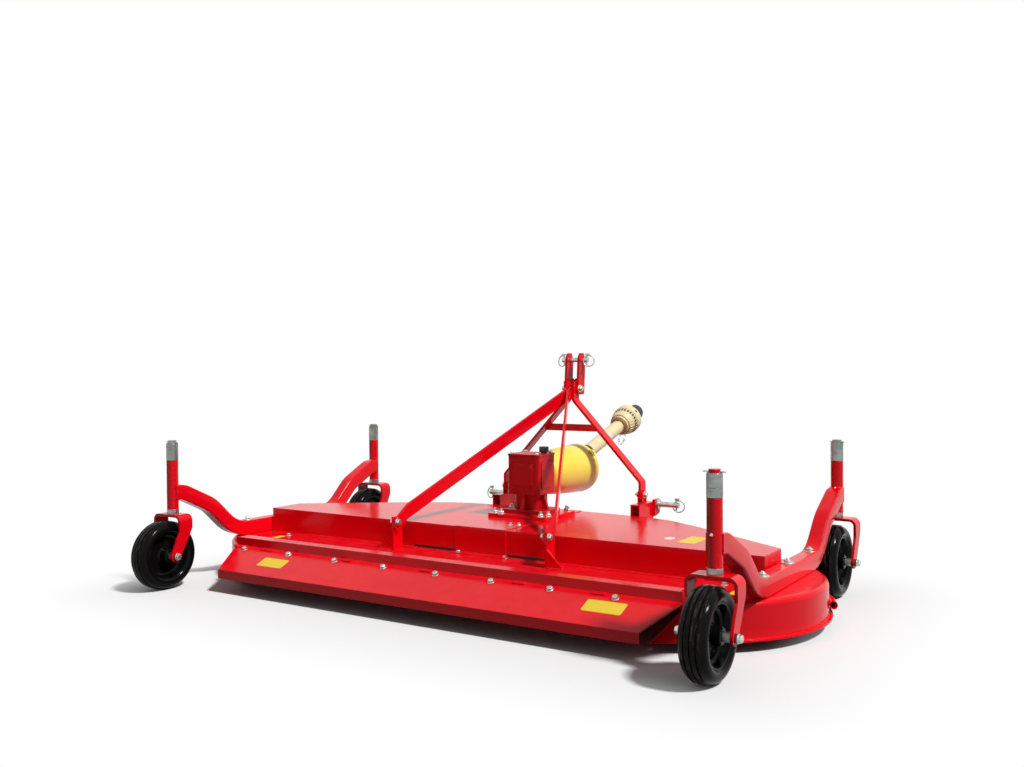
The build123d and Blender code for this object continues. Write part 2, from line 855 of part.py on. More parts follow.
with BuildPart() as shaft_front:
    add(yoke(shaft_plane, front_joint, -1, "across"))
    bar = [
        (200, 0),
        (200, inner_bar),
        (front_joint - 82, inner_bar),
        (front_joint - 82, yoke_hub),
        (front_joint - 36, yoke_hub),
        (front_joint - 36, 0),
    ]
    revolve(outline(shaft_plane, bar), shaft_axis)
write(shaft_front.part, "shaft_front")

with BuildPart() as end_yoke:
    add(yoke(shaft_plane, front_joint, 1, "upright"))
    collar = [
        (front_joint + 36, 0),
        (front_joint + 36, end_collar_radius),
        (front_joint + end_yoke_length, end_collar_radius),
        (front_joint + end_yoke_length, 0),
    ]
    revolve(outline(shaft_plane, collar), shaft_axis)
    bore = [
        (front_joint + end_yoke_length - end_bore_length, 0),
        (front_joint + end_yoke_length - end_bore_length, end_bore_radius),
        (front_joint + end_yoke_length, end_bore_radius),
        (front_joint + end_yoke_length, 0),
    ]
    revolve(outline(shaft_plane, bore), shaft_axis, mode=Mode.SUBTRACT)
write(end_yoke.part, "end_yoke")

guard_outer = 28.5
guard_wall = 3.5
guard_end = 470.0
cone_radius = 59.0
cone_wall = 4.0
with BuildPart() as guard_rear:
    tube = [
        (74, yoke_hub + seat),
        (74, yoke_hub + 12),
        (62, cone_radius - cone_wall),
        (4, cone_radius - cone_wall),
        (4, cone_radius),
        (64, cone_radius),
        (118, guard_outer),
        (guard_end, guard_outer),
        (guard_end, guard_outer - guard_wall),
        (102, guard_outer - guard_wall),
        (88, yoke_hub + 6),
        (88, yoke_hub + seat),
    ]
    revolve(outline(shaft_plane, tube), shaft_axis)
write(guard_rear.part, "guard_rear")

slip = 1.5
with BuildPart() as guard_front:
    cone = cone_radius - cone_wall
    tube = [
        (260, outer_tube + slip),
        (260, guard_outer - guard_wall - slip),
        (front_joint - 95, guard_outer - guard_wall - slip),
        (front_joint - 95, 38),
        (front_joint - 80, 45),
        (front_joint - 52, 55),
        (front_joint - 30, cone_radius),
        (front_joint + 6, cone_radius),
        (front_joint + 6, cone),
        (front_joint - 30, cone),
        (front_joint - 50, cone - 4),
        (front_joint - 66, 42),
        (front_joint - 68, yoke_hub + seat),
        (front_joint - 84, yoke_hub + seat),
        (front_joint - 85, outer_tube + slip),
    ]
    revolve(outline(shaft_plane, tube), shaft_axis)
write(guard_front.part, "guard_front")

# Rub rails: bent tubes round the front of the deck's ends
rail_radius = 13.0
rail_height = 62.0
rail_bend = lobe_radius + rail_radius + seat
with BuildPart() as front_rails:
    for hand in (-1, 1):
        start = radians(18)
        finish = radians(66)
        middle = (start + finish) / 2
        centre = (hand * spindle_x, row_y)
        ends = []
        for angle in (start, middle, finish):
            ends.append((centre[0] + hand * rail_bend * cos(angle), centre[1] + rail_bend * sin(angle), rail_height))
        with BuildLine() as path:
            ThreePointArc(*[Vector(*point) for point in ends])
        with BuildSketch(Plane(path.line @ 0, z_dir=path.line % 0)) as ring:
            Circle(rail_radius)
            Circle(rail_radius - 3, mode=Mode.SUBTRACT)
        sweep(ring.sketch, path=path.line)
write(front_rails.part, "front_rails")
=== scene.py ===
"""Dresses a three-point hitch finishing mower round its CAD frame: paint, tyres, fasteners and the stage."""

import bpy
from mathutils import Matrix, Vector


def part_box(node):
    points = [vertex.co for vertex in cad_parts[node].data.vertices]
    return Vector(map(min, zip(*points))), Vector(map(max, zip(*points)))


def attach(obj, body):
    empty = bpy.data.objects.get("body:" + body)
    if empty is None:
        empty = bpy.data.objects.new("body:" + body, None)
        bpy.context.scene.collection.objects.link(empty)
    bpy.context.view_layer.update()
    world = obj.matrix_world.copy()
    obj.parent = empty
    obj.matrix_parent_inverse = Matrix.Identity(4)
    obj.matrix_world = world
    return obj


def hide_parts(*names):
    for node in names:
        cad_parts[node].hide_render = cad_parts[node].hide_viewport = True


bl_info = {
    "name": "Finishing mower",
    "version": (1, 0, 0),
    "blender": (4, 5, 0),
    "location": "3D View > Sidebar > Mower",
    "description": "Paints and dresses a three-point hitch finishing mower",
    "category": "Object",
}

import math
from contextlib import contextmanager

import bmesh
import bpy
from mathutils import Matrix, Vector
from mathutils.bvhtree import BVHTree

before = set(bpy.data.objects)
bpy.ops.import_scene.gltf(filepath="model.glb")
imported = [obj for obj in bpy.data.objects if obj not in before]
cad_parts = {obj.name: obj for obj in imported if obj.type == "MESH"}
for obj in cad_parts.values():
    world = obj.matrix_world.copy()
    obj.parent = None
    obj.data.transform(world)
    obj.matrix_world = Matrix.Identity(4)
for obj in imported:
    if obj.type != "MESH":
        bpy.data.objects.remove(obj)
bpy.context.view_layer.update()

# Directions, and sizes that more than one piece uses, in millimetres unless metres are named

MM = 0.001
UP = Vector((0, 0, 1))
DOWN = Vector((0, 0, -1))
RIGHTWARD = Vector((1, 0, 0))
FORWARD = Vector((0, 1, 0))
REARWARD = Vector((0, -1, 0))
FLAP_NORMAL = Vector((0, -0.38, 0.925))
HANDS = (("left", -1), ("right", 1))

STEM_X = 1060
STEM_LEAD = 566
ENDS = tuple((f"{row}_{side}", side, lead)
             for row, lead in (("front", STEM_LEAD), ("rear", -STEM_LEAD)) for side, _ in HANDS)
DECK_SEAM = 145.5
BRACKET_X = 320
HITCH_INNER = 300
HITCH_OUTER = 338
MAST_FACE_X = 33
INPUT_HEIGHT = 390
REAR_JOINT_LEAD = 512
SHAFT_SLOPE = math.radians(17.9)
SHAFT_ALONG = Vector((0, math.cos(SHAFT_SLOPE), math.sin(SHAFT_SLOPE)))
SHAFT_UP = Vector((0, -math.sin(SHAFT_SLOPE), math.cos(SHAFT_SLOPE)))

# Lead and height of the side bars' bends, from a stem tube to the flat part on the deck
BAR_LINE = ((STEM_LEAD, 350), (530, 348), (398, 284), (282, 173))

# Distance from a bar's middle and half its height there
BAR_COLUMNS = (
    (25, 22), (24.2, 25), (22, 27.2), (19, 28), (16, 28), (12, 28), (6, 28), (0, 28),
)

# Bolts in metres: width over the corners, head height, washer's radius and thickness, thread beyond the nut
AXLE_BOLT = (0.0225, 0.0088, 0.0128, 0.0016, 0.0)
SIDE_BOLT = (0.0205, 0.0085, 0.0205, 0.0024, 0.004)
BRACKET_BOLT = (0.0225, 0.009, 0.0135, 0.0016, 0.0)
BRACKET_STUD = (0.0225, 0.009, 0.0135, 0.0016, 0.006)
MAST_BOLT = (0.0245, 0.0095, 0.015, 0.0016, 0.0)
FOOT_STUD = (0.0205, 0.0085, 0.0135, 0.0016, 0.009)

# X and lead of the studs round the gearbox foot
FOOT_STUDS = (
    (-118, 285), (-105, 152), (-70, 143), (97, 152), (97, 341), (118, 318), (-105, 341), (118, 172), (0, 352),
)

# Radius and lead of the shield bell's wall, out along the outside and back along the inside
BELL_WALL = (
    (50.4, 306), (62, 306), (70, 309), (76, 320), (81, 345), (85.5, 385), (89.5, 430), (92.5, 480), (95, 530),
    (96.5, 570), (97.4, 590), (98, 597), (98, 604), (96.5, 606.5), (94.6, 604), (93.6, 596), (92.5, 560),
    (89, 480), (82, 385), (74, 330), (66, 312), (50.4, 309.5),
)

# Lead and height of the guard's small chain
CHAIN_LINE = ((1046, 512), (1033, 494), (1020, 470), (996, 456), (974, 464), (972, 482), (984, 498))

# The finish that each CAD node gets

FINISH_NODES = {
    "red": """deck_shell spindle_housings rear_beam rear_flap cover_left cover_right cover_centre
        side_frame_left side_frame_right hitch_bracket_left hitch_bracket_right a_frame_leg_left
        a_frame_leg_right mast_plates cross_tie braces rear_brackets gearbox_base front_rails
        fork_front_left fork_front_right fork_rear_left fork_rear_right""",
    "cast": "gearbox gearbox_lid",
    "zinc": "hitch_pins mast_pins",
    "steel": """input_yoke joint_cross_rear shaft_rear shaft_front joint_cross_front end_yoke
        axle_front_left axle_front_right axle_rear_left axle_rear_right""",
    "blade": "blade_left blade_centre blade_right",
    "yellow": "shaft_shield",
    "cream": "guard_rear guard_front",
}
MATERIALS = {}
SHARED = {}
TREES = {}


def box_of(node):
    """Lowest and highest corner of a CAD node, as vectors in metres."""
    low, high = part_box(node)
    return Vector(low), Vector(high)


FRAME_LOW, FRAME_HIGH = box_of("side_frame_left")
ROW_Y = (FRAME_LOW.y + FRAME_HIGH.y) / 2


def at(x, lead, z):
    """A point given in millimetres, its lead counted forward from the middle between the caster rows."""
    return Vector((x * MM, ROW_Y + lead * MM, z * MM))


# Sizes and colours that a user would change


def colour_setting(name, description, red, green, blue):
    """A colour with its default."""
    return bpy.props.FloatVectorProperty(
        name=name, description=description, default=(red, green, blue, 1.0), subtype="COLOR", size=4,
        min=0, max=1)


def size_setting(name, description, metres):
    """A length with its default in metres."""
    return bpy.props.FloatProperty(name=name, description=description, default=metres, min=0, unit="LENGTH")


def share_setting(name, description, share):
    """A share from nought to one with its default."""
    return bpy.props.FloatProperty(
        name=name, description=description, default=share, min=0, max=1, subtype="FACTOR")


def angle_setting(name, description, degrees):
    """An angle with its default in degrees."""
    return bpy.props.FloatProperty(
        name=name, description=description, default=math.radians(degrees), subtype="ANGLE")


class MowerPaint(bpy.types.PropertyGroup):
    """Red paint of the mower."""

    red: colour_setting("Red", "Colour of the gloss paint", 0.88, 0.0015, 0.012)
    deep_red: colour_setting("Deep red", "Colour where the paint lies thicker", 0.76, 0.001, 0.008)
    cast_red: colour_setting("Cast red", "Colour of the paint on the castings", 0.45, 0.004, 0.012)
    # This pale pink is a painted highlight along the pressed edges, laid in a broken mask.
    edge_highlight_red: colour_setting("Edge highlight red", "Colour painted on pressed edges as a highlight", 0.85, 0.3, 0.28)
    dust_tint: colour_setting("Dust colour", "Colour of the dust on the paint", 0.62, 0.5, 0.45)
    gloss: share_setting("Roughness", "Roughness of clean paint", 0.16)
    edge: size_setting("Edge radius", "Radius that light shows on pressed edges", 0.0022)
    dust: share_setting("Dust", "How much dust lies on level faces", 0.03)


class MowerMetal(bpy.types.PropertyGroup):
    """Bare metals."""

    zinc: colour_setting("Zinc", "Colour of plated bolts and sleeves", 0.62, 0.66, 0.63)
    zinc_shade: colour_setting("Dull zinc", "Colour of dulled plating", 0.36, 0.4, 0.37)
    sleeve: colour_setting("Sleeve", "Colour of the dull sleeves on the caster stems", 0.3, 0.33, 0.31)
    sleeve_shade: colour_setting("Dark sleeve", "Second colour of the sleeves", 0.17, 0.19, 0.175)
    steel: colour_setting("Dark steel", "Colour of forged steel", 0.05, 0.052, 0.056)
    steel_shade: colour_setting("Brown steel", "Colour of forged steel where it browns", 0.07, 0.05, 0.035)
    blade: colour_setting("Blade", "Colour of the blades", 0.09, 0.09, 0.09)
    blade_shade: colour_setting("Brown blade", "Colour of the blades where they rust", 0.16, 0.13, 0.1)


class MowerPlastic(bpy.types.PropertyGroup):
    """Plastic guards, rubber and plates."""

    yellow: colour_setting("Yellow", "Colour of the shield bell", 0.93, 0.83, 0.1)
    yellow_shade: colour_setting("Deep yellow", "Second colour of the shield bell", 0.93, 0.76, 0.06)
    cream: colour_setting("Cream", "Colour of the shaft guard", 0.92, 0.8, 0.48)
    cream_shade: colour_setting("Deep cream", "Second colour of the shaft guard", 0.86, 0.7, 0.38)
    black: colour_setting("Black", "Colour of the tyres and the breather", 0.004, 0.004, 0.0045)
    black_shade: colour_setting("Grey black", "Second colour of the black plastic", 0.012, 0.012, 0.012)
    scuff: colour_setting("Scuffs", "Colour of dried earth on the treads", 0.13, 0.1, 0.07)
    plate: colour_setting("Plate", "Colour of the blank plates", 0.9, 0.66, 0.02)
    plate_shade: colour_setting("Deep plate", "Second colour of the blank plates", 0.85, 0.6, 0.03)
    white: colour_setting("White", "Colour of the white plates", 0.85, 0.85, 0.83)
    white_shade: colour_setting("Grey white", "Second colour of the white plates", 0.8, 0.8, 0.78)
    dust_tint: colour_setting("Dust colour", "Colour of the dust on plastic", 0.55, 0.5, 0.42)


class MowerWheels(bpy.types.PropertyGroup):
    """Sizes of the casters' wheels."""

    segments: bpy.props.IntProperty(
        name="Segments", description="Steps round a wheel", default=96, min=24, max=256)
    groove: size_setting("Groove depth", "Depth of the tread's grooves", 0.0035)
    groove_width: size_setting("Groove width", "Width of the tread's grooves", 0.004)


class MowerFasteners(bpy.types.PropertyGroup):
    """Sizes of the small bolts on the flap and the covers."""

    across: size_setting("Across corners", "Width of a flap bolt's head over its corners", 0.0195)
    height: size_setting("Head height", "Height of a flap bolt's head", 0.0078)
    washer: size_setting("Washer", "Radius of a cover bolt's washer", 0.0125)


class MowerStage(bpy.types.PropertyGroup):
    """Camera, lamps and floor."""

    eye: bpy.props.FloatVectorProperty(
        name="Eye", description="Camera's place, its second value counted from the casters' middle", size=3,
        unit="LENGTH", default=(2.0502, -3.0418, 0.8143))
    yaw: angle_setting("Yaw", "Turn of the view to the left", 33.01)
    pitch: angle_setting("Pitch", "Tilt of the view downward", 1.078)
    roll: angle_setting("Roll", "Turn of the view about its own line", -0.42)
    lens: bpy.props.FloatProperty(
        name="Lens", description="Focal length for a sensor 36 mm wide", default=35.87, min=1, unit="CAMERA")
    sun: bpy.props.FloatProperty(name="Sun", description="Strength of the main lamp", default=3.1, min=0)
    sun_from: bpy.props.FloatVectorProperty(
        name="Sun from", description="Direction that the sun stands in", size=3, subtype="XYZ",
        default=(0.62, -0.05, 0.78))
    sun_size: angle_setting("Sun size", "How wide the sun looks, which softens its shadows", 7.0)
    sky: bpy.props.FloatProperty(
        name="Sky", description="Strength of the light from all sides", default=0.18, min=0)
    bounce: colour_setting("Bounce", "Colour of the floor as the mower is lit by it", 0.1, 0.1, 0.1)
    floor: colour_setting("Floor", "Colour of the floor", 0.93, 0.93, 0.93)


# Shader helpers


def feed(tree, socket, value):
    """Links a value to a socket, or sets it there if it is plain."""
    if isinstance(value, bpy.types.NodeSocket):
        tree.links.new(value, socket)
    else:
        socket.default_value = value


def add_node(tree, kind, inputs=None, **settings):
    """Adds a shader node, sets it up and feeds its inputs."""
    made = tree.nodes.new("ShaderNode" + kind)
    for name, value in settings.items():
        setattr(made, name, value)
    for name, value in (inputs or {}).items():
        feed(tree, made.inputs[name], value)
    return made


def set_inputs(tree, node, **inputs):
    """Feeds a node's inputs, named with underscores for spaces, and gives its outputs."""
    for label, value in inputs.items():
        feed(tree, node.inputs[label.replace("_", " ")], value)
    return node.outputs


def use_group(tree, name, **inputs):
    """Places a shared group in a material and gives its outputs."""
    made = tree.nodes.new("ShaderNodeGroup")
    made.node_tree = SHARED[name]
    return set_inputs(tree, made, **inputs)


def math_node(tree, operation, *values):
    """One sum on one or two values."""
    return add_node(tree, "Math", dict(enumerate(values)), operation=operation).outputs[0]


def product(tree, first, *others):
    """The values multiplied in turn."""
    for value in others:
        first = math_node(tree, "MULTIPLY", first, value)
    return first


def vector_node(tree, operation, *values):
    """One sum on one or two vectors."""
    return add_node(tree, "VectorMath", dict(enumerate(values)), operation=operation).outputs


def spread(tree, value, low, high, to_low=0.0, to_high=1.0, **settings):
    """Maps a value from one range to another, clamped."""
    inputs = {"Value": value, "From Min": low, "From Max": high, "To Min": to_low, "To Max": to_high}
    return add_node(tree, "MapRange", inputs, **settings).outputs["Result"]


def mixed(tree, factor, first, second):
    """Blends two colours."""
    return add_node(tree, "Mix", {0: factor, 6: first, 7: second}, data_type="RGBA").outputs[2]


def noise(tree, vector, scale, detail, roughness=0.5):
    """The value of a noise texture."""
    inputs = {"Vector": vector, "Scale": scale, "Detail": detail, "Roughness": roughness}
    return add_node(tree, "TexNoise", inputs).outputs["Fac"]


def bumped(tree, height, distance, strength, **normal):
    """A Bump node's normal, over another normal where one is given."""
    inputs = {"Height": height, "Distance": distance, "Strength": strength, **normal}
    return add_node(tree, "Bump", inputs).outputs["Normal"]


def seen_rays(tree):
    """One for rays that show a surface, also in a mirror or through glass, and nought for lighting."""
    rays = add_node(tree, "LightPath").outputs
    seen = math_node(tree, "MAXIMUM", rays["Is Camera Ray"], rays["Is Glossy Ray"])
    return math_node(tree, "MAXIMUM", seen, rays["Is Transmission Ray"])


# Shared effects


def new_group(name, inputs, **outputs):
    """A shader group's tree, what comes in, what goes out, and its place on the object."""
    tree = bpy.data.node_groups.new(name, "ShaderNodeTree")
    for label, value in inputs.items():
        kind = "NodeSocketFloat" if isinstance(value, float) else "NodeSocketColor"
        tree.interface.new_socket(name=label, in_out="INPUT", socket_type=kind).default_value = value
    for label, kind in outputs.items():
        tree.interface.new_socket(name=label, in_out="OUTPUT", socket_type="NodeSocket" + kind)
    given = tree.nodes.new("NodeGroupInput").outputs
    return tree, given, tree.nodes.new("NodeGroupOutput").inputs, add_node(tree, "TexCoord").outputs


def cloud_group():
    """Colour that drifts slowly between two shades."""
    inputs = {"Colour": (1, 1, 1, 1), "Second": (0, 0, 0, 1), "Scale": 8.0, "Amount": 1.0}
    tree, given, result, place = new_group("Cloudy colour", inputs, Colour="Color", Mask="Float")
    clouds = spread(tree, noise(tree, place["Object"], given["Scale"], 4.0, 0.55), 0.35, 0.65)
    mask = product(tree, clouds, given["Amount"])
    feed(tree, result["Colour"], mixed(tree, mask, given["Colour"], given["Second"]))
    feed(tree, result["Mask"], mask)
    return tree


def dust_group():
    """Fine dust that lies on faces turned upward."""
    inputs = {"Colour": (1, 1, 1, 1), "Dust": (0.5, 0.45, 0.4, 1), "Scale": 30.0, "Amount": 0.2}
    tree, given, result, place = new_group("Settled dust", inputs, Colour="Color", Mask="Float")
    upright = add_node(tree, "SeparateXYZ", {0: place["Normal"]}).outputs["Z"]
    patches = spread(tree, noise(tree, place["Object"], given["Scale"], 6.0, 0.6), 0.4, 0.75)
    mask = product(tree, spread(tree, upright, 0.4, 1.0), patches, given["Amount"])
    feed(tree, result["Colour"], mixed(tree, mask, given["Colour"], given["Dust"]))
    feed(tree, result["Mask"], mask)
    return tree


def edge_group():
    """Softened normals along hard edges, and a broken mask there that marks where a paler highlight is
    painted.
    """
    inputs = {"Radius": 0.002, "Scale": 60.0, "Amount": 0.5}
    tree, given, result, place = new_group("Edge highlight", inputs, Mask="Float", Normal="Vector")
    soft = add_node(tree, "Bevel", {"Radius": given["Radius"]}, samples=6).outputs["Normal"]
    hard = add_node(tree, "NewGeometry").outputs["Normal"]
    bend = spread(tree, vector_node(tree, "DOT_PRODUCT", soft, hard)["Value"], 0.97, 0.75)
    broken = spread(tree, noise(tree, place["Object"], given["Scale"], 5.0, 0.7), 0.5, 0.62)
    feed(tree, result["Mask"], product(tree, bend, broken, given["Amount"]))
    feed(tree, result["Normal"], soft)
    return tree


def skin_group():
    """Height of a coat's fine waviness and grain."""
    inputs = {"Scale": 300.0, "Grain": 0.3}
    tree, given, result, place = new_group("Surface skin", inputs, Height="Float")
    wave = noise(tree, place["Object"], given["Scale"], 1.0)
    grain = noise(tree, place["Object"], product(tree, given["Scale"], 5.0), 2.0)
    feed(tree, result["Height"], math_node(tree, "ADD", wave, product(tree, grain, given["Grain"])))
    return tree


# Materials


def blank_material(name):
    """A material with only a Principled shader on its output."""
    made = bpy.data.materials.new(name)
    made.use_nodes = True
    tree = made.node_tree
    tree.nodes.clear()
    shader = add_node(tree, "BsdfPrincipled")
    add_node(tree, "OutputMaterial", {"Surface": shader.outputs["BSDF"]})
    return made, tree, shader


def paint_material(name, colour, settings, cast=False):
    """Gloss paint over pressed steel, or over a rougher casting."""
    made, tree, shader = blank_material(name)
    cloud = use_group(tree, "cloud", Colour=colour, Second=settings.deep_red, Scale=5.0, Amount=0.6)
    dust = use_group(tree, "dust", Colour=cloud["Colour"], Dust=settings.dust_tint, Scale=22.0,
                     Amount=settings.dust)
    edge = use_group(tree, "edge", Radius=settings.edge, Scale=90.0, Amount=0.16)
    skin = use_group(tree, "skin", Scale=150.0 if cast else 260.0, Grain=0.7 if cast else 0.12)
    # Paints a paler pink highlight along the pressed edges.
    edge_lit = mixed(tree, edge["Mask"], dust["Colour"], settings.edge_highlight_red)
    rough = spread(tree, dust["Mask"], 0.0, 0.12, settings.gloss + (0.16 if cast else 0), 0.42)
    normal = bumped(tree, skin["Height"], 0.002, 0.35 if cast else 0.06, Normal=edge["Normal"])
    set_inputs(tree, shader, Base_Color=edge_lit, Roughness=rough, Normal=normal, Specular_IOR_Level=0.14)
    return made


def metal_material(name, colour, shade, roughness, metallic, scale=40.0):
    """Plated or forged metal with duller clouds."""
    made, tree, shader = blank_material(name)
    cloud = use_group(tree, "cloud", Colour=colour, Second=shade, Scale=scale, Amount=0.8)
    edge = use_group(tree, "edge", Radius=0.0008)
    skin = use_group(tree, "skin", Scale=500.0, Grain=0.5)
    rough = spread(tree, cloud["Mask"], 0.0, 0.8, roughness, roughness + 0.2)
    normal = bumped(tree, skin["Height"], 0.001, 0.12, Normal=edge["Normal"])
    set_inputs(tree, shader, Base_Color=cloud["Colour"], Roughness=rough, Metallic=metallic, Normal=normal)
    return made


def plastic_material(name, colour, shade, roughness, edge_radius=0.0012, dust=0.08):
    """Moulded plastic with a fine skin."""
    made, tree, shader = blank_material(name)
    tint = bpy.context.scene.mower_plastic.dust_tint
    cloud = use_group(tree, "cloud", Colour=colour, Second=shade, Scale=9.0, Amount=0.6)
    dusty = use_group(tree, "dust", Colour=cloud["Colour"], Dust=tint, Scale=45.0, Amount=dust)
    edge = use_group(tree, "edge", Radius=edge_radius)
    skin = use_group(tree, "skin", Scale=420.0, Grain=0.3)
    rough = spread(tree, cloud["Mask"], 0.0, 0.6, roughness, roughness + 0.12)
    normal = bumped(tree, skin["Height"], 0.001, 0.08, Normal=edge["Normal"])
    set_inputs(tree, shader, Base_Color=dusty["Colour"], Roughness=rough, Normal=normal)
    return made


def tyre_material(name, settings):
    """Gloss black rubber, scuffed with dried earth on the tread. The wheel turns about its own X axis."""
    made, tree, shader = blank_material(name)
    place = add_node(tree, "TexCoord").outputs["Object"]
    split = add_node(tree, "SeparateXYZ", {0: place}).outputs
    squares = [product(tree, split[axis], split[axis]) for axis in "YZ"]
    radius = math_node(tree, "SQRT", math_node(tree, "ADD", *squares))
    tread = spread(tree, radius, 0.117, 0.1235)
    along = add_node(tree, "Mapping", {"Vector": place, "Scale": (6.0, 1.0, 1.0)}).outputs["Vector"]
    patches = spread(tree, noise(tree, along, 24.0, 8.0, 0.72), 0.5, 0.72)
    mask = product(tree, tread, patches, 0.75)
    colour = mixed(tree, mask, settings.black, settings.scuff)
    skin = use_group(tree, "skin", Scale=380.0, Grain=0.5)
    set_inputs(tree, shader, Base_Color=colour, Roughness=spread(tree, mask, 0.0, 0.5, 0.14, 0.75),
               Specular_IOR_Level=0.07, Normal=bumped(tree, skin["Height"], 0.001, 0.1))
    return made


def build_materials():
    """All shared groups and finishes, made once."""
    if not MATERIALS:
        SHARED.update(cloud=cloud_group(), dust=dust_group(), edge=edge_group(), skin=skin_group())
        paint = bpy.context.scene.mower_paint
        metal = bpy.context.scene.mower_metal
        plastic = bpy.context.scene.mower_plastic
        MATERIALS.update(
            red=paint_material("red_paint_gloss", paint.red, paint),
            cast=paint_material("red_paint_casting", paint.cast_red, paint, cast=True),
            zinc=metal_material("zinc_plate", metal.zinc, metal.zinc_shade, 0.26, 1.0),
            sleeve=metal_material("dull_zinc", metal.sleeve, metal.sleeve_shade, 0.3, 1.0, 30.0),
            steel=metal_material("forged_steel", metal.steel, metal.steel_shade, 0.38, 0.6),
            blade=metal_material("blade_steel", metal.blade, metal.blade_shade, 0.45, 0.8),
            yellow=plastic_material("yellow_shield", plastic.yellow, plastic.yellow_shade, 0.3),
            cream=plastic_material("cream_guard", plastic.cream, plastic.cream_shade, 0.38),
            black=plastic_material("black_plastic", plastic.black, plastic.black_shade, 0.35, dust=0.02),
            plate=plastic_material("blank_plate", plastic.plate, plastic.plate_shade, 0.4, 0.0003, 0.02),
            white=plastic_material("white_plate", plastic.white, plastic.white_shade, 0.4, 0.0003, 0.02),
            tyre=tyre_material("tyre_rubber", plastic),
        )
    return MATERIALS


def dress(obj, finish):
    """Gives the finish to every material slot of an object."""
    material = build_materials()[finish]
    if not obj.material_slots:
        obj.data.materials.append(material)
    for held in obj.material_slots:
        held.material = material


# Mesh helpers


def facing(place, normal, toward=None):
    """A frame at place whose Z points along normal, and whose X points as near toward as it can."""
    up = Vector(normal).normalized()
    if toward is None:
        toward = RIGHTWARD if abs(up.x) < 0.9 else FORWARD
    along = (toward - up * toward.dot(up)).normalized()
    turn = Matrix((along, up.cross(along), up)).transposed().to_4x4()
    return Matrix.Translation(place) @ turn


def circle(steps):
    """Cosine and sine of even steps once round."""
    angles = [math.tau * step / steps for step in range(steps)]
    return [(math.cos(angle), math.sin(angle)) for angle in angles]


def round_pairs(count):
    """Each index and the next one, once round."""
    return [(step, (step + 1) % count) for step in range(count)]


def lathe(mesh, profile, place, steps=24):
    """Turns points (radius, height) round the local Z axis of place, and gives the corners it made."""
    rings = []
    for radius, height in profile:
        spokes = circle(steps) if radius > 0 else [(0, 0)]
        rings.append([mesh.verts.new(place @ Vector((radius * x, radius * y, height))) for x, y in spokes])
    for lower, upper in zip(rings, rings[1:]):
        for step, after in round_pairs(steps):
            corners = [lower[step % len(lower)], lower[after % len(lower)],
                       upper[after % len(upper)], upper[step % len(upper)]]
            corners = list(dict.fromkeys(corners))
            if len(corners) > 2:
                mesh.faces.new(corners)
    return [corner for ring in rings for corner in ring]


def closed_lathe(mesh, profile, place, steps):
    """Turns a profile that comes back to its first point."""
    corners = lathe(mesh, [*profile, profile[0]], place, steps)
    bmesh.ops.remove_doubles(mesh, verts=corners, dist=0.00001)


def collar(mesh, place, inner, outer, low, high, steps=20):
    """A plain turned collar between two heights, or a disc where the inner radius is nought."""
    lathe(mesh, [(inner, low), (outer, low), (outer, high), (inner, high)], place, steps)


def hex_head(mesh, place, across, height, washer=0.0, washer_height=0.0016, stud=0.0):
    """A bolt or nut along the local Z of place: washer, chamfered hexagon, and any stud through it."""
    base = 0.0
    if washer > 0:
        base = washer_height
        lathe(mesh, [(0, -0.001), (washer, -0.001), (washer, base * 0.7), (washer - 0.0006, base), (0, base)],
              place)
    radius = across / 2
    lathe(mesh, [(0, base - 0.0006), (radius, base - 0.0006), (radius, base + height * 0.78),
                 (radius * 0.84, base + height), (0, base + height)], place, 6)
    if stud > 0:
        thread = radius * 0.5
        top = base + height + stud
        lathe(mesh, [(0, base), (thread, base), (thread, top - 0.001), (thread * 0.75, top), (0, top)],
              place, 16)


def prism(mesh, place, outline, low, high):
    """Extrudes an outline on the local XY plane from low to high."""
    bottom = [mesh.verts.new(place @ Vector((x, y, low))) for x, y in outline]
    top = [mesh.verts.new(place @ Vector((x, y, high))) for x, y in outline]
    mesh.faces.new(bottom[::-1])
    mesh.faces.new(top)
    for step, after in round_pairs(len(outline)):
        mesh.faces.new((bottom[step], bottom[after], top[after], top[step]))


def slab(mesh, place, length, width, height, cut):
    """A flat plate on the local XY plane of place, with cut corners."""
    x = length / 2
    y = width / 2
    outline = [(x - cut, -y), (x, -y + cut), (x, y - cut), (x - cut, y), (-x + cut, y), (-x, y - cut),
               (-x, -y + cut), (-x + cut, -y)]
    prism(mesh, place, outline, 0.0, height)


def rod(mesh, points, radius, sides=10, closed=False, swell=0.0):
    """A round bar along points, every second ring thicker by the swell."""
    count = len(points)
    rings = []
    side = None
    for index, point in enumerate(points):
        before = points[index - 1] if index or closed else point
        after = points[(index + 1) % count] if index < count - 1 or closed else point
        along = (after - before).normalized()
        if side is None:
            side = along.orthogonal().normalized()
        side = (side - along * side.dot(along)).normalized()
        up = along.cross(side)
        wide = radius * (1 + swell * (index % 2))
        rings.append([mesh.verts.new(point + (side * x + up * y) * wide) for x, y in circle(sides)])
    pairs = list(zip(rings, rings[1:]))
    if closed:
        pairs.append((rings[-1], rings[0]))
    else:
        mesh.faces.new(rings[0][::-1])
        mesh.faces.new(rings[-1])
    for lower, upper in pairs:
        for step, after in round_pairs(sides):
            mesh.faces.new((lower[step], lower[after], upper[after], upper[step]))


def ring_bar(mesh, place, radius, bar, steps, sides=8):
    """A closed ring of round bar on the local XY plane of place."""
    points = [place @ Vector((radius * x, radius * y, 0)) for x, y in circle(steps)]
    rod(mesh, points, bar, sides, closed=True)


def weld(mesh, start, finish, radius=0.0032, pitch=0.006):
    """A rippled weld bead along a straight run."""
    count = max(2, round((finish - start).length / pitch))
    rod(mesh, [start.lerp(finish, step / count) for step in range(count)] + [finish], radius, 6, swell=0.3)


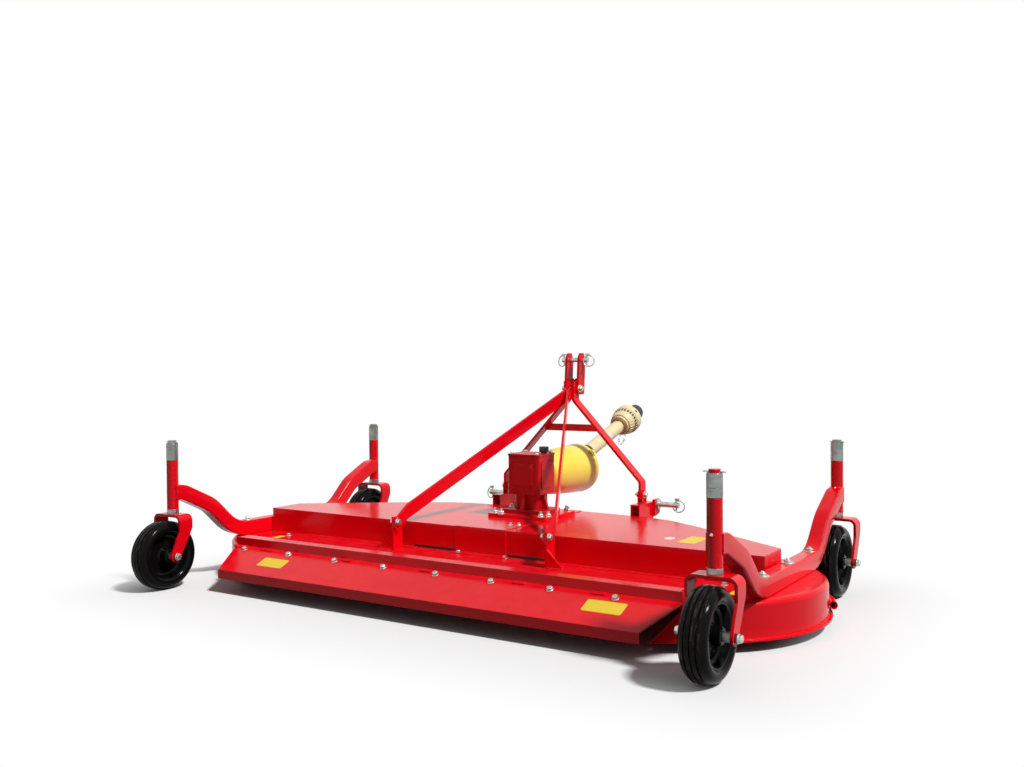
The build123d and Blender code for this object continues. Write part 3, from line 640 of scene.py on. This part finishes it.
def round_path(points, radius, steps=9):
    """Flat points with each inner corner turned into an arc of at most this radius."""
    points = [Vector(point) for point in points]
    path = [points[0]]
    for before, corner, after in zip(points, points[1:], points[2:]):
        back = before - corner
        ahead = after - corner
        reach = min(radius / math.tan(back.angle(ahead) / 2), 0.48 * back.length, 0.48 * ahead.length)
        first = corner + back.normalized() * reach
        last = corner + ahead.normalized() * reach
        for step in range(steps + 1):
            t = step / steps
            path.append(first.lerp(corner, t).lerp(corner.lerp(last, t), t))
    return path + [points[-1]]


def box_bar(mesh, x, path, cope):
    """A rounded box bar along a rearward path of (lead, height), its ends hollowed to fit round tubes."""
    columns = [(-across, half) for across, half in BAR_COLUMNS] + list(reversed(BAR_COLUMNS[:-1]))
    rings = []
    last = len(path) - 1
    for index, point in enumerate(path):
        along = (path[min(index + 1, last)] - path[max(index - 1, 0)]).normalized()
        up = Vector((along.y, -along.x))
        ring = []
        for side in (-1, 1):
            for across, half in columns:
                lead, z = point + up * (side * half)
                if index in (0, last):
                    hollow = math.sqrt(max(0.0, cope * cope - across * across))
                    lead -= math.copysign(hollow, lead)
                ring.append(mesh.verts.new(at(x + across, lead, z)))
        rings.append(ring)
    count = len(columns)
    for low, high in zip(rings, rings[1:]):
        for step in range(count - 1):
            over = count + step
            mesh.faces.new((low[step], low[step + 1], high[step + 1], high[step]))
            mesh.faces.new((low[over], high[over], high[over + 1], low[over + 1]))
        mesh.faces.new((low[0], high[0], high[count], low[count]))
        mesh.faces.new((low[count - 1], low[-1], high[-1], high[count - 1]))
    for ring in (rings[0], rings[-1]):
        for step in range(count - 1):
            mesh.faces.new((ring[step], ring[step + 1], ring[count + step + 1], ring[count + step]))


def placed(name, data, centre=(0, 0, 0)):
    """A new object in the scene."""
    made = bpy.data.objects.new(name, data)
    made.location = centre
    bpy.context.scene.collection.objects.link(made)
    bpy.context.view_layer.update()
    return made


@contextmanager
def piece(name, finish, body="mower", smooth=35.0, centre=(0, 0, 0), replaced=None):
    """A working mesh, drawn round the centre, that becomes one object on a body when its block is through."""
    mesh = bmesh.new()
    yield mesh
    bmesh.ops.recalc_face_normals(mesh, faces=mesh.faces)
    data = bpy.data.meshes.new(name)
    mesh.to_mesh(data)
    mesh.free()
    data.shade_smooth()
    data.set_sharp_from_angle(angle=math.radians(smooth))
    made = placed(name, data, centre)
    dress(made, finish)
    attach(made, body)
    if replaced:
        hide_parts(replaced)


# Seats on the CAD frame


def tree_of(node):
    """A search tree of one CAD node's faces."""
    if node not in TREES:
        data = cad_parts[node].data
        corners = [vertex.co.copy() for vertex in data.vertices]
        TREES[node] = BVHTree.FromPolygons(corners, [tuple(face.vertices) for face in data.polygons])
    return TREES[node]


def seat(nodes, origin, direction=DOWN):
    """A frame where a ray first meets one of the nodes, its Z out of the face toward the ray."""
    best = None
    for node in nodes:
        place, normal, _, length = tree_of(node).ray_cast(Vector(origin), direction)
        if place is not None and (best is None or length < best[2]):
            best = (place, normal, length)
    if best is None:
        raise RuntimeError(f"Nothing of {nodes} lies along the ray from {tuple(origin)}")
    place, normal, _ = best
    return facing(place, -normal if normal.dot(direction) > 0 else normal)


def bolts_on(mesh, nodes, spots, **sizes):
    """Lands a bolt on the nodes below each spot, each turned a little from the last."""
    fasteners = bpy.context.scene.mower_fasteners
    sizes = {"across": fasteners.across, "height": fasteners.height, "washer": fasteners.washer, **sizes}
    for index, spot in enumerate(spots):
        hex_head(mesh, seat(nodes, spot) @ Matrix.Rotation(0.4 * index, 4, "Z"), **sizes)


def plates_on(mesh, nodes, spots, height, cut):
    """Lays a thin blank plate on the nodes below each spot (x, lead, length, width)."""
    for x, lead, length, width in spots:
        slab(mesh, seat(nodes, at(x, lead, height)), length, width, 0.0006, cut)


# Operators


class MOWER_OT_paint_frame(bpy.types.Operator):
    """Gives each CAD node its finish"""

    bl_idname = "mower.paint_frame"
    bl_label = "Paint the frame"

    def execute(self, context):
        for finish, nodes in FINISH_NODES.items():
            for node in nodes.split():
                dress(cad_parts[node], finish)
        return {"FINISHED"}


def tyre_profile(radius, half, groove, width):
    """(radius, distance along the axle) of a hub, rim and grooved tyre, from the left face to the right."""
    bore = 0.0086
    hub = 0.024
    dish = 0.007
    right = [
        (bore, half), (hub - 0.003, half), (hub, half - 0.003), (hub + 0.002, dish + 0.006),
        (hub + 0.008, dish), (0.066, dish - 0.001), (0.0735, dish + 0.004), (0.078, half - 0.014),
        (0.0805, half - 0.009), (0.084, half - 0.0085), (0.0865, half - 0.006), (0.09, half - 0.0025),
        (0.095, half - 0.0006), (0.101, half), (0.107, half - 0.0012), (0.112, half - 0.004),
        (0.1165, half - 0.0085), (0.12, half - 0.0145), (0.1225, half - 0.021),
    ]
    lip = width / 2 + 0.0006
    floor = width / 4
    shoulder = 0.0165
    crown = radius - 0.0016 * (shoulder / 0.02) ** 2
    right += [
        (crown, shoulder + lip), (crown - groove, shoulder + floor), (crown - groove, shoulder - floor),
        (crown, shoulder - lip), (radius, lip), (radius - groove, floor),
    ]
    return [(r, -t) for r, t in reversed(right)] + right


class MOWER_OT_wheels(bpy.types.Operator):
    """Builds the four casters' wheels: grooved tyres on dished rims"""

    bl_idname = "mower.wheels"
    bl_label = "Wheels"

    def execute(self, context):
        sizes = context.scene.mower_wheels
        for end, _, _ in ENDS:
            wheel = f"wheel_{end}"
            low, high = box_of(wheel)
            half = (high - low) / 2
            profile = tyre_profile(half.z, half.x, sizes.groove, sizes.groove_width)
            with piece(f"tyre_{end}", "tyre", wheel, centre=(low + high) / 2, replaced=wheel) as mesh:
                closed_lathe(mesh, profile, facing((0, 0, 0), RIGHTWARD, UP), sizes.segments)
        return {"FINISHED"}


class MOWER_OT_side_frames(bpy.types.Operator):
    """Builds the two side frames again with smooth bends and rounded corners"""

    bl_idname = "mower.side_frames"
    bl_label = "Side frames"

    def execute(self, context):
        path = round_path([*BAR_LINE, *((-lead, z) for lead, z in reversed(BAR_LINE))], 170)
        bore = 0.01566
        outer = 0.021
        bottom = 0.2892
        chamfer = 0.0008
        for side, _ in HANDS:
            node = f"side_frame_{side}"
            low, high = box_of(node)
            x = (low.x + high.x) / 2 / MM
            tube = [(bore, bottom), (outer - chamfer, bottom), (outer, bottom + chamfer),
                    (outer, high.z - chamfer), (outer - chamfer, high.z), (bore, high.z)]
            with piece(f"side_bars_{side}", "red", smooth=30.0, replaced=node) as mesh:
                box_bar(mesh, x, path, 18.2)
                for lead in (-STEM_LEAD, STEM_LEAD):
                    closed_lathe(mesh, tube, Matrix.Translation(at(x, lead, 0)), 48)
                for seam in (1.5 - STEM_LEAD, STEM_LEAD - 1.5):
                    for edge in (x - 21.4, x + 21.4):
                        weld(mesh, at(edge, seam, 324), at(edge, seam, 376))
        return {"FINISHED"}


def sleeve_profile(low, high, joins=()):
    """A plated sleeve between two heights, with a fine groove at each join."""
    radius = 0.0214
    points = [(radius - 0.0012, low), (radius, low + 0.0008)]
    for join in joins:
        points += [(radius, join - 0.0006), (radius - 0.0007, join), (radius, join + 0.0006)]
    return points + [(radius, high - 0.0008), (radius - 0.0012, high)]


class MOWER_OT_caster_fittings(bpy.types.Operator):
    """Sleeves, caps, pins, nipples and axle bolts of the four casters"""

    bl_idname = "mower.caster_fittings"
    bl_label = "Caster fittings"

    def execute(self, context):
        for end, side, lead in ENDS:
            fork = f"fork_{end}"
            low, high = box_of(fork)
            x = (low.x + high.x) / 2
            y = ROW_Y + lead * MM
            cap = high.z
            stem = Matrix.Translation((x, y, 0))
            tube = f"side_frame_{side}"
            tube_top = box_of(tube)[1].z
            tube_bottom = seat((tube,), (x + 0.0185, y, 0.2), UP).translation.z
            fork_top = seat((fork,), (x + 0.0255, y, tube_bottom)).translation.z + 0.0003
            with piece(f"caster_sleeves_{end}", "sleeve", fork) as mesh:
                lathe(mesh, sleeve_profile(tube_top + 0.0006, cap - 0.012, (tube_top + 0.026,)), stem, 40)
                collar(mesh, stem, 0.0155, 0.0205, cap - 0.012, cap - 0.0095, 32)
                lathe(mesh, sleeve_profile(fork_top, tube_bottom - 0.0006), stem, 40)
            with piece(f"caster_metal_{end}", "zinc", fork) as mesh:
                reach = 0.03 if end == "rear_right" else 0.0235
                pin_ends = (x - reach, y - 0.004, cap - 0.006), (x + reach, y + 0.004, cap - 0.007)
                rod(mesh, [Vector(point) for point in pin_ends], 0.0026)
                axle_low, axle_high = box_of(f"axle_{end}")
                middle = (axle_low + axle_high) / 2
                for hand, edge in ((-1, axle_low.x), (1, axle_high.x)):
                    place = Vector((edge - hand * 0.0004, middle.y, middle.z))
                    hex_head(mesh, facing(place, (hand, 0, 0)), *AXLE_BOLT)
                    collar(mesh, facing(middle, (hand, 0, 0)), 0.0082, 0.0137, 0.0412, 0.0628, 28)
            with piece(f"grease_nipple_{end}", "zinc") as mesh:
                outward = -RIGHTWARD if end == "rear_left" else REARWARD
                nipple = facing(Vector((x, y, 0.375)) + outward * 0.0205, outward)
                lathe(mesh, [(0.0042, 0), (0.0042, 0.0022), (0.002, 0.003), (0.002, 0.0055), (0.003, 0.0065),
                             (0.0022, 0.0085), (0, 0.009)], nipple, 14)
            with piece(f"stem_cap_{end}", "red" if end == "rear_right" else "sleeve", fork) as mesh:
                lathe(mesh, [(0.0158, cap - 0.0094), (0.0158, cap - 0.001), (0.0145, cap + 0.0003),
                             (0, cap + 0.0003)], stem, 32)
        return {"FINISHED"}


class MOWER_OT_flap_fittings(bpy.types.Operator):
    """Bolts, tabs and blank plates along the discharge flap"""

    bl_idname = "mower.flap_fittings"
    bl_label = "Flap fittings"

    def execute(self, context):
        flap = ("rear_flap", "deck_shell")
        with piece("flap_bolts", "zinc") as mesh:
            spots = [at(x, -424, 500) for x in (-836, -611, -389, -170, 49, 266, 480, 700)]
            bolts_on(mesh, flap, spots, washer=0.0115)
        with piece("flap_tabs", "red") as mesh:
            tabs = ((-869, 0.07), (-730, 0.054), (-340, 0.044), (0, 0.044), (364, 0.044), (639, 0.046))
            for x, length in tabs:
                slab(mesh, facing(at(x, -412, 141.8), FLAP_NORMAL), length, 0.015, 0.0035, 0.002)
        with piece("flap_plates", "plate") as mesh:
            plates_on(mesh, flap, ((-634, -478, 0.118, 0.052), (686, -468, 0.128, 0.056)), 300, 0.004)
        return {"FINISHED"}


class MOWER_OT_cover_fittings(bpy.types.Operator):
    """Bolts and blank plates on the belt covers and the deck beside them"""

    bl_idname = "mower.cover_fittings"
    bl_label = "Cover fittings"

    def execute(self, context):
        covers = ("cover_left", "cover_right", "cover_centre", "deck_shell", "rear_beam")
        with piece("cover_bolts", "zinc") as mesh:
            spots = [at(x, lead, 600) for x, lead in ((-89, -109), (109, -109), (-883, -152), (915, -127))]
            bolts_on(mesh, covers, spots, across=0.0175, height=0.007)
            spots = [at(93, 10, 700), at(68, -6, 700)]
            bolts_on(mesh, covers, spots, across=0.0175, height=0.007, washer=0.0, stud=0.006)
        with piece("centre_cover_sheet", "red") as mesh:
            slab(mesh, facing(at(0, 176.5, 237), UP), 0.206, 0.55, 0.002, 0.0015)
            slab(mesh, facing(at(0, -96, 192.5), REARWARD), 0.214, 0.093, 0.0035, 0.002)
            slab(mesh, facing(at(0, -110, 145), UP), 0.236, 0.034, 0.003, 0.006)
            for _, hand in HANDS:
                slab(mesh, facing(at(hand * 560, -107, 145), UP), 0.56, 0.022, 0.0025, 0.003)
        # Thin black strips under the covers' rear walls are painted shadow in the gaps there.
        with piece("cover_gap_shadows", "black") as mesh:
            for _, hand in HANDS:
                slab(mesh, facing(at(hand * 203, -96, 151), REARWARD), 0.19, 0.0085, 0.0004, 0.002)
        with piece("cover_plates", "plate") as mesh:
            spots = ((736, 55, 0.062, 0.13), (-890, -200, 0.03, 0.05), (986, -215, 0.035, 0.05))
            plates_on(mesh, covers, spots, 400, 0.003)
        with piece("cover_oval", "white") as mesh:
            oval = [(0.016 * x, 0.024 * y) for x, y in circle(32)]
            prism(mesh, seat(covers, at(657, 49, 400)), oval, 0.0, 0.0006)
        return {"FINISHED"}


class MOWER_OT_frame_bolts(bpy.types.Operator):
    """Bolts and welds of the side frames, rear brackets and hitch brackets"""

    bl_idname = "mower.frame_bolts"
    bl_label = "Frame bolts"

    def execute(self, context):
        with piece("side_frame_bolts", "zinc") as mesh:
            for side, hand in HANDS:
                for lead in (-205, 20, 245):
                    hex_head(mesh, seat((f"side_frame_{side}",), at(hand * STEM_X, lead, 400)), *SIDE_BOLT)
        with piece("bracket_bolts", "zinc") as mesh:
            for _, hand in HANDS:
                for side in (-1, 1):
                    origin = at(hand * BRACKET_X + side * 120, -175, 245)
                    place = seat(("rear_brackets", "braces"), origin, RIGHTWARD * -side)
                    hex_head(mesh, place, *BRACKET_BOLT)
        with piece("bracket_welds", "red") as mesh:
            for _, hand in HANDS:
                for x in (BRACKET_X, BRACKET_X + 8):
                    weld(mesh, at(hand * x, -189, DECK_SEAM), at(hand * x, -137, DECK_SEAM))
                weld(mesh, at(hand * 328, -189, DECK_SEAM), at(hand * 390, -189, DECK_SEAM))
                for x in (HITCH_INNER, HITCH_OUTER):
                    weld(mesh, at(hand * x, 490, DECK_SEAM), at(hand * x, 560, DECK_SEAM))
                    weld(mesh, at(hand * x, 485, 215), at(hand * x, 606, 215), 0.0026)
                weld(mesh, at(hand * HITCH_INNER, 490, DECK_SEAM), at(hand * HITCH_OUTER, 490, DECK_SEAM))
                weld(mesh, at(hand * HITCH_OUTER, 600, 222), at(hand * HITCH_OUTER, 600, 268), 0.0026)
        return {"FINISHED"}


class MOWER_OT_hitch_fittings(bpy.types.Operator):
    """Bolts, lynch pins and rings of the mast and the hitch brackets"""

    bl_idname = "mower.hitch_fittings"
    bl_label = "Hitch fittings"

    def execute(self, context):
        with piece("hitch_bolts", "zinc") as mesh:
            for name, hand in HANDS:
                for side in (-1, 1):
                    place = seat((f"hitch_bracket_{name}",), at(hand * 313 + side * 60, 556, 304),
                                 RIGHTWARD * -side)
                    hex_head(mesh, place, *(BRACKET_BOLT if side == hand else BRACKET_STUD))
                hex_head(mesh, facing(at(hand * MAST_FACE_X, 566, 715), (hand, 0, 0)), *MAST_BOLT)
        with piece("lynch_pins", "zinc") as mesh:
            for _, hand in HANDS:
                self.lynch_pin(mesh, at(hand * 52, 590, 830), hand, 0.012)
                self.lynch_pin(mesh, at(hand * 430, 617, 262), hand, 0.013)
        # Black discs on the mast plates are painted shade standing in for the open pin holes.
        with piece("mast_hole_shadows", "black") as mesh:
            for _, hand in HANDS:
                for lead, z in ((572, 699), (582, 776)):
                    place = facing(at(hand * MAST_FACE_X, lead, z), (hand, 0, 0))
                    collar(mesh, place, 0, 0.0068, -0.0005, 0.0004)
        return {"FINISHED"}

    def lynch_pin(self, mesh, place, hand, reach):
        """A peg down through a hitch pin, with its spring ring folded to the outer side."""
        top = place + UP * (reach + 0.008)
        rod(mesh, [top, place + DOWN * (reach + 0.01)], 0.0036, 12)
        head = facing(top, UP, RIGHTWARD * hand) @ Matrix.Translation((0.003, 0, -0.001))
        slab(mesh, head, 0.018, 0.011, 0.007, 0.002)
        ring = facing(place + Vector((hand * 0.01, 0, -0.004)), (hand * 0.35, -1, 0.1))
        ring_bar(mesh, ring, 0.022, 0.0028, 32)


class MOWER_OT_gearbox_fittings(bpy.types.Operator):
    """Bolts, studs, cast panels and the breather of the gearbox"""

    bl_idname = "mower.gearbox_fittings"
    bl_label = "Gearbox fittings"

    def execute(self, context):
        low, high = box_of("gearbox_lid")
        inset = 0.014
        with piece("gearbox_bolts", "zinc") as mesh:
            spots = [(x, y, high.z + 0.4) for x in (low.x + inset, high.x - inset)
                     for y in (low.y + inset, high.y - inset)]
            bolts_on(mesh, ("gearbox_lid",), spots, across=0.0165, height=0.0065, washer=0.0)
            flats = ("gearbox_base", "gearbox", "cover_left", "cover_right", "cover_centre")
            for x, lead in FOOT_STUDS:
                hex_head(mesh, seat(flats, at(x, lead, 320)), *FOOT_STUD)
        with piece("gearbox_castings", "cast") as mesh:
            rear = facing(at(0, 184.2, 397), REARWARD)
            slab(mesh, rear, 0.09, 0.088, 0.0035, 0.005)
            slab(mesh, rear, 0.08, 0.078, 0.006, 0.005)
            for _, hand in HANDS:
                slab(mesh, facing(at(hand * 68.3, 245, 397), (hand, 0, 0)), 0.08, 0.1, 0.003, 0.006)
            sides = ((FORWARD, 0.048), (REARWARD, 0.048), (RIGHTWARD, 0.049), (-RIGHTWARD, 0.049))
            for along, reach in sides:
                rib = [(reach - 0.006, 0.266), (reach + 0.026, 0.266), (reach + 0.008, 0.326),
                       (reach - 0.006, 0.326)]
                prism(mesh, facing(at(0, 245, 0), along.cross(UP), along), rib, -0.006, 0.006)
        with piece("breather", "black") as mesh:
            lathe(mesh, [(0, -0.001), (0.011, -0.001), (0.011, 0.006), (0.0175, 0.006), (0.0185, 0.009),
                         (0.0185, 0.022), (0.017, 0.0255), (0, 0.0265)], Matrix.Translation(at(46, 262, 476)))
        return {"FINISHED"}


def spoke(angle):
    """The way straight out from the raised shaft, at an angle from the right."""
    return RIGHTWARD * math.cos(angle) + SHAFT_UP * math.sin(angle)


def on_shaft(reach, radius=0.0, angle=0.0):
    """A point by its reach along the raised shaft from the rear joint, and its radius and angle round it."""
    joint = at(0, REAR_JOINT_LEAD, INPUT_HEIGHT)
    return joint + SHAFT_ALONG * (reach * MM) + spoke(angle) * (radius * MM)


class MOWER_OT_shaft_guards(bpy.types.Operator):
    """Builds the shield bell, and dresses the shaft guard with its collars, fins, ring and chain"""

    bl_idname = "mower.shaft_guards"
    bl_label = "Shaft guards"

    def execute(self, context):
        wall = [(radius * MM, lead * MM) for radius, lead in BELL_WALL]
        with piece("shield_bell", "yellow", smooth=50.0, replaced="shaft_shield") as mesh:
            closed_lathe(mesh, wall, facing(at(0, 0, INPUT_HEIGHT), FORWARD, UP), 72)
        clip_angle = math.radians(41)
        out = Vector((math.cos(clip_angle), 0, math.sin(clip_angle)))
        clip = facing(at(0, 590, INPUT_HEIGHT) + out * 0.0965, out, FORWARD)
        with piece("shield_clip", "yellow") as mesh:
            slab(mesh, clip, 0.03, 0.026, 0.006, 0.004)
        # A black slab on the clip is painted shade standing in for its open slot.
        with piece("clip_slot_shadow", "black") as mesh:
            slab(mesh, clip @ Matrix.Translation((0, 0, 0.0055)), 0.008, 0.018, 0.001, 0.001)
        place = facing(on_shaft(0), SHAFT_ALONG)
        self.rear_guard(place)
        self.front_guard(place)
        self.chain()
        return {"FINISHED"}

    def rear_guard(self, place):
        """The black bearing ring and the blank round label of the rear guard."""
        with piece("guard_ring", "black", "guard_rear") as mesh:
            lathe(mesh, [(0.0275, 0.156), (0.0325, 0.157), (0.0335, 0.16), (0.0335, 0.182), (0.032, 0.185),
                         (0.0275, 0.186)], place, 40)
        with piece("guard_label", "white", "guard_rear") as mesh:
            rows = []
            for step in range(17):
                angle = math.radians(-12 + 48 * step / 16)
                half = 0.021 * math.sqrt(max(0.0, 1 - ((step - 8) / 8.3) ** 2))
                points = [on_shaft(352 + edge / MM, 28.9, angle) for edge in (-half, half)]
                rows.append([mesh.verts.new(point) for point in points])
            for low, high in zip(rows, rows[1:]):
                mesh.faces.new((low[0], low[1], high[1], high[0]))

    def front_guard(self, place):
        """Collars, fins and the rolled rim of the front guard, black slabs painted as shade in its slots, and
        a small black disc.
        """
        fins = 26
        with piece("guard_fins", "cream", "guard_front") as mesh:
            lathe(mesh, [(0.036, 0.487), (0.0415, 0.488), (0.0425, 0.491), (0.0415, 0.494), (0.036, 0.495)],
                  place, 40)
            lathe(mesh, [(0.04, 0.499), (0.0475, 0.5), (0.0485, 0.503), (0.0475, 0.506), (0.042, 0.508)],
                  place, 40)
            lathe(mesh, [(0.0585, 0.552), (0.0615, 0.554), (0.0625, 0.559), (0.0625, 0.58), (0.0615, 0.588),
                         (0.0592, 0.5912), (0.0585, 0.5905)], place, 56)
            for step in range(fins):
                angle = math.tau * step / fins
                rod(mesh, [on_shaft(509, 47.5, angle), on_shaft(553, 60, angle)], 0.0016, 6)
        # Black slabs between the fins are painted shade standing in for the open slots.
        with piece("guard_slot_shadows", "black", "guard_front") as mesh:
            for step in range(fins):
                angle = math.tau * (step + 0.5) / fins
                slot = facing(on_shaft(541, 57.4, angle), spoke(angle) - SHAFT_ALONG * 0.12, SHAFT_ALONG)
                slab(mesh, slot, 0.013, 0.0075, 0.0012, 0.0015)
            angle = math.radians(38)
            collar(mesh, facing(on_shaft(572, 62.1, angle), spoke(angle)), 0, 0.0055, -0.001, 0.0009)

    def chain(self):
        """The small chain that hangs from the front guard, its links turned by turns."""
        pitch = 6.5
        links = round_path(CHAIN_LINE, 18, 5)
        travelled = 0.0
        count = 0
        with piece("guard_chain", "zinc", "guard_front") as mesh:
            for first, second in zip(links, links[1:]):
                way = second - first
                travelled += way.length
                if travelled >= pitch:
                    travelled = 0.0
                    count += 1
                    normal = RIGHTWARD if count % 2 else Vector((0, -way.y, way.x))
                    ring_bar(mesh, facing(at(0, *second), normal), 0.0048, 0.0012, 10, 6)


class MOWER_OT_stage(bpy.types.Operator):
    """Camera at the photograph's view, pale floor, sky and sun"""

    bl_idname = "mower.stage"
    bl_label = "Stage"

    def execute(self, context):
        scene = context.scene
        stage = scene.mower_stage
        data = bpy.data.cameras.new("camera")
        data.sensor_width = 36.0
        data.lens = stage.lens
        data.clip_end = 200.0
        camera = placed("camera", data)
        turns = ((stage.yaw, "Z"), (math.pi / 2 - stage.pitch, "X"), (stage.roll, "Z"))
        view = Matrix.Translation(Vector(stage.eye) + Vector((0, ROW_Y, 0)))
        for angle, axis in turns:
            view @= Matrix.Rotation(angle, 4, axis)
        camera.matrix_world = view
        scene.camera = camera
        self.add_floor(stage)
        self.add_light(scene, stage)
        scene.view_settings.view_transform = "Standard"
        return {"FINISHED"}

    def add_floor(self, stage):
        """A wide floor that fades to white away from the mower, and that hides nothing seen from below."""
        reach = 60.0
        corners = [(x * reach, y * reach, -0.0001) for x, y in ((-1, -1), (1, -1), (1, 1), (-1, 1))]
        data = bpy.data.meshes.new("floor")
        data.from_pydata(corners, [], [(0, 1, 2, 3)])
        floor = placed("floor", data)
        made, tree, shader = blank_material("pale_floor")
        seen = seen_rays(tree)
        colour = mixed(tree, seen, stage.bounce, stage.floor)
        set_inputs(tree, shader, Base_Color=colour, Roughness=0.9, Specular_IOR_Level=0.0)
        # The floor shows its shadows under the mower and close round it, and turns white farther out
        place = add_node(tree, "TexCoord").outputs["Object"]
        away = vector_node(tree, "ABSOLUTE", vector_node(tree, "SUBTRACT", place, (0, ROW_Y, 0))["Vector"])
        past = vector_node(tree, "SUBTRACT", away["Vector"], (1.05, 0.6, 0))
        outside = vector_node(tree, "MAXIMUM", past["Vector"], (0, 0, 0))
        far = vector_node(tree, "LENGTH", outside["Vector"])["Value"]
        fade = spread(tree, far, 0.0, 0.5, interpolation_type="SMOOTHSTEP")
        white = add_node(tree, "Emission", {"Color": (1, 1, 1, 1), "Strength": 1.0}).outputs[0]
        blend = add_node(tree, "MixShader", {0: product(tree, fade, seen), 1: shader.outputs[0], 2: white})
        under = add_node(tree, "NewGeometry").outputs["Backfacing"]
        clear = add_node(tree, "BsdfTransparent").outputs[0]
        sided = add_node(tree, "MixShader", {0: under, 1: blend.outputs[0], 2: clear})
        end = next(item for item in tree.nodes if item.type == "OUTPUT_MATERIAL")
        feed(tree, end.inputs["Surface"], sided.outputs[0])
        data.materials.append(made)

    def add_light(self, scene, stage):
        """A soft sun over the mower's right side, and an even sky that shows white."""
        lamp = bpy.data.lights.new("sun", "SUN")
        lamp.energy = stage.sun
        lamp.angle = stage.sun_size
        sun = placed("sun", lamp)
        sun.rotation_euler = Vector(stage.sun_from).to_track_quat("Z", "Y").to_euler()
        world = bpy.data.worlds.new("sky")
        world.use_nodes = True
        tree = world.node_tree
        tree.nodes.clear()
        plain, white = [
            add_node(tree, "Background", {"Color": (1, 1, 1, 1), "Strength": strength}).outputs[0]
            for strength in (stage.sky, 1.0)
        ]
        blend = add_node(tree, "MixShader", {0: seen_rays(tree), 1: plain, 2: white})
        add_node(tree, "OutputWorld", {"Surface": blend.outputs[0]})
        scene.world = world


OPERATORS = (
    MOWER_OT_paint_frame,
    MOWER_OT_wheels,
    MOWER_OT_side_frames,
    MOWER_OT_caster_fittings,
    MOWER_OT_flap_fittings,
    MOWER_OT_cover_fittings,
    MOWER_OT_frame_bolts,
    MOWER_OT_hitch_fittings,
    MOWER_OT_gearbox_fittings,
    MOWER_OT_shaft_guards,
    MOWER_OT_stage,
)


class MOWER_PT_pieces(bpy.types.Panel):
    """Lists the mower's pieces in the 3D view's sidebar"""

    bl_label = "Finishing mower"
    bl_idname = "MOWER_PT_pieces"
    bl_space_type = "VIEW_3D"
    bl_region_type = "UI"
    bl_category = "Mower"

    def draw(self, context):
        for operator in OPERATORS:
            self.layout.operator(operator.bl_idname)


SETTINGS = (
    ("mower_paint", MowerPaint),
    ("mower_metal", MowerMetal),
    ("mower_plastic", MowerPlastic),
    ("mower_wheels", MowerWheels),
    ("mower_fasteners", MowerFasteners),
    ("mower_stage", MowerStage),
)


def register():
    """Registers the settings, operators and panel."""
    for name, settings in SETTINGS:
        bpy.utils.register_class(settings)
        setattr(bpy.types.Scene, name, bpy.props.PointerProperty(type=settings))
    for operator in OPERATORS:
        bpy.utils.register_class(operator)
    bpy.utils.register_class(MOWER_PT_pieces)


def unregister():
    """Removes the panel, operators and settings."""
    bpy.utils.unregister_class(MOWER_PT_pieces)
    for operator in reversed(OPERATORS):
        bpy.utils.unregister_class(operator)
    for name, settings in reversed(SETTINGS):
        delattr(bpy.types.Scene, name)
        bpy.utils.unregister_class(settings)


def main():
    """Builds every piece in order."""
    register()
    for operator in OPERATORS:
        group, name = operator.bl_idname.split(".")
        getattr(getattr(bpy.ops, group), name)()


if __name__ == "__main__":
    main()
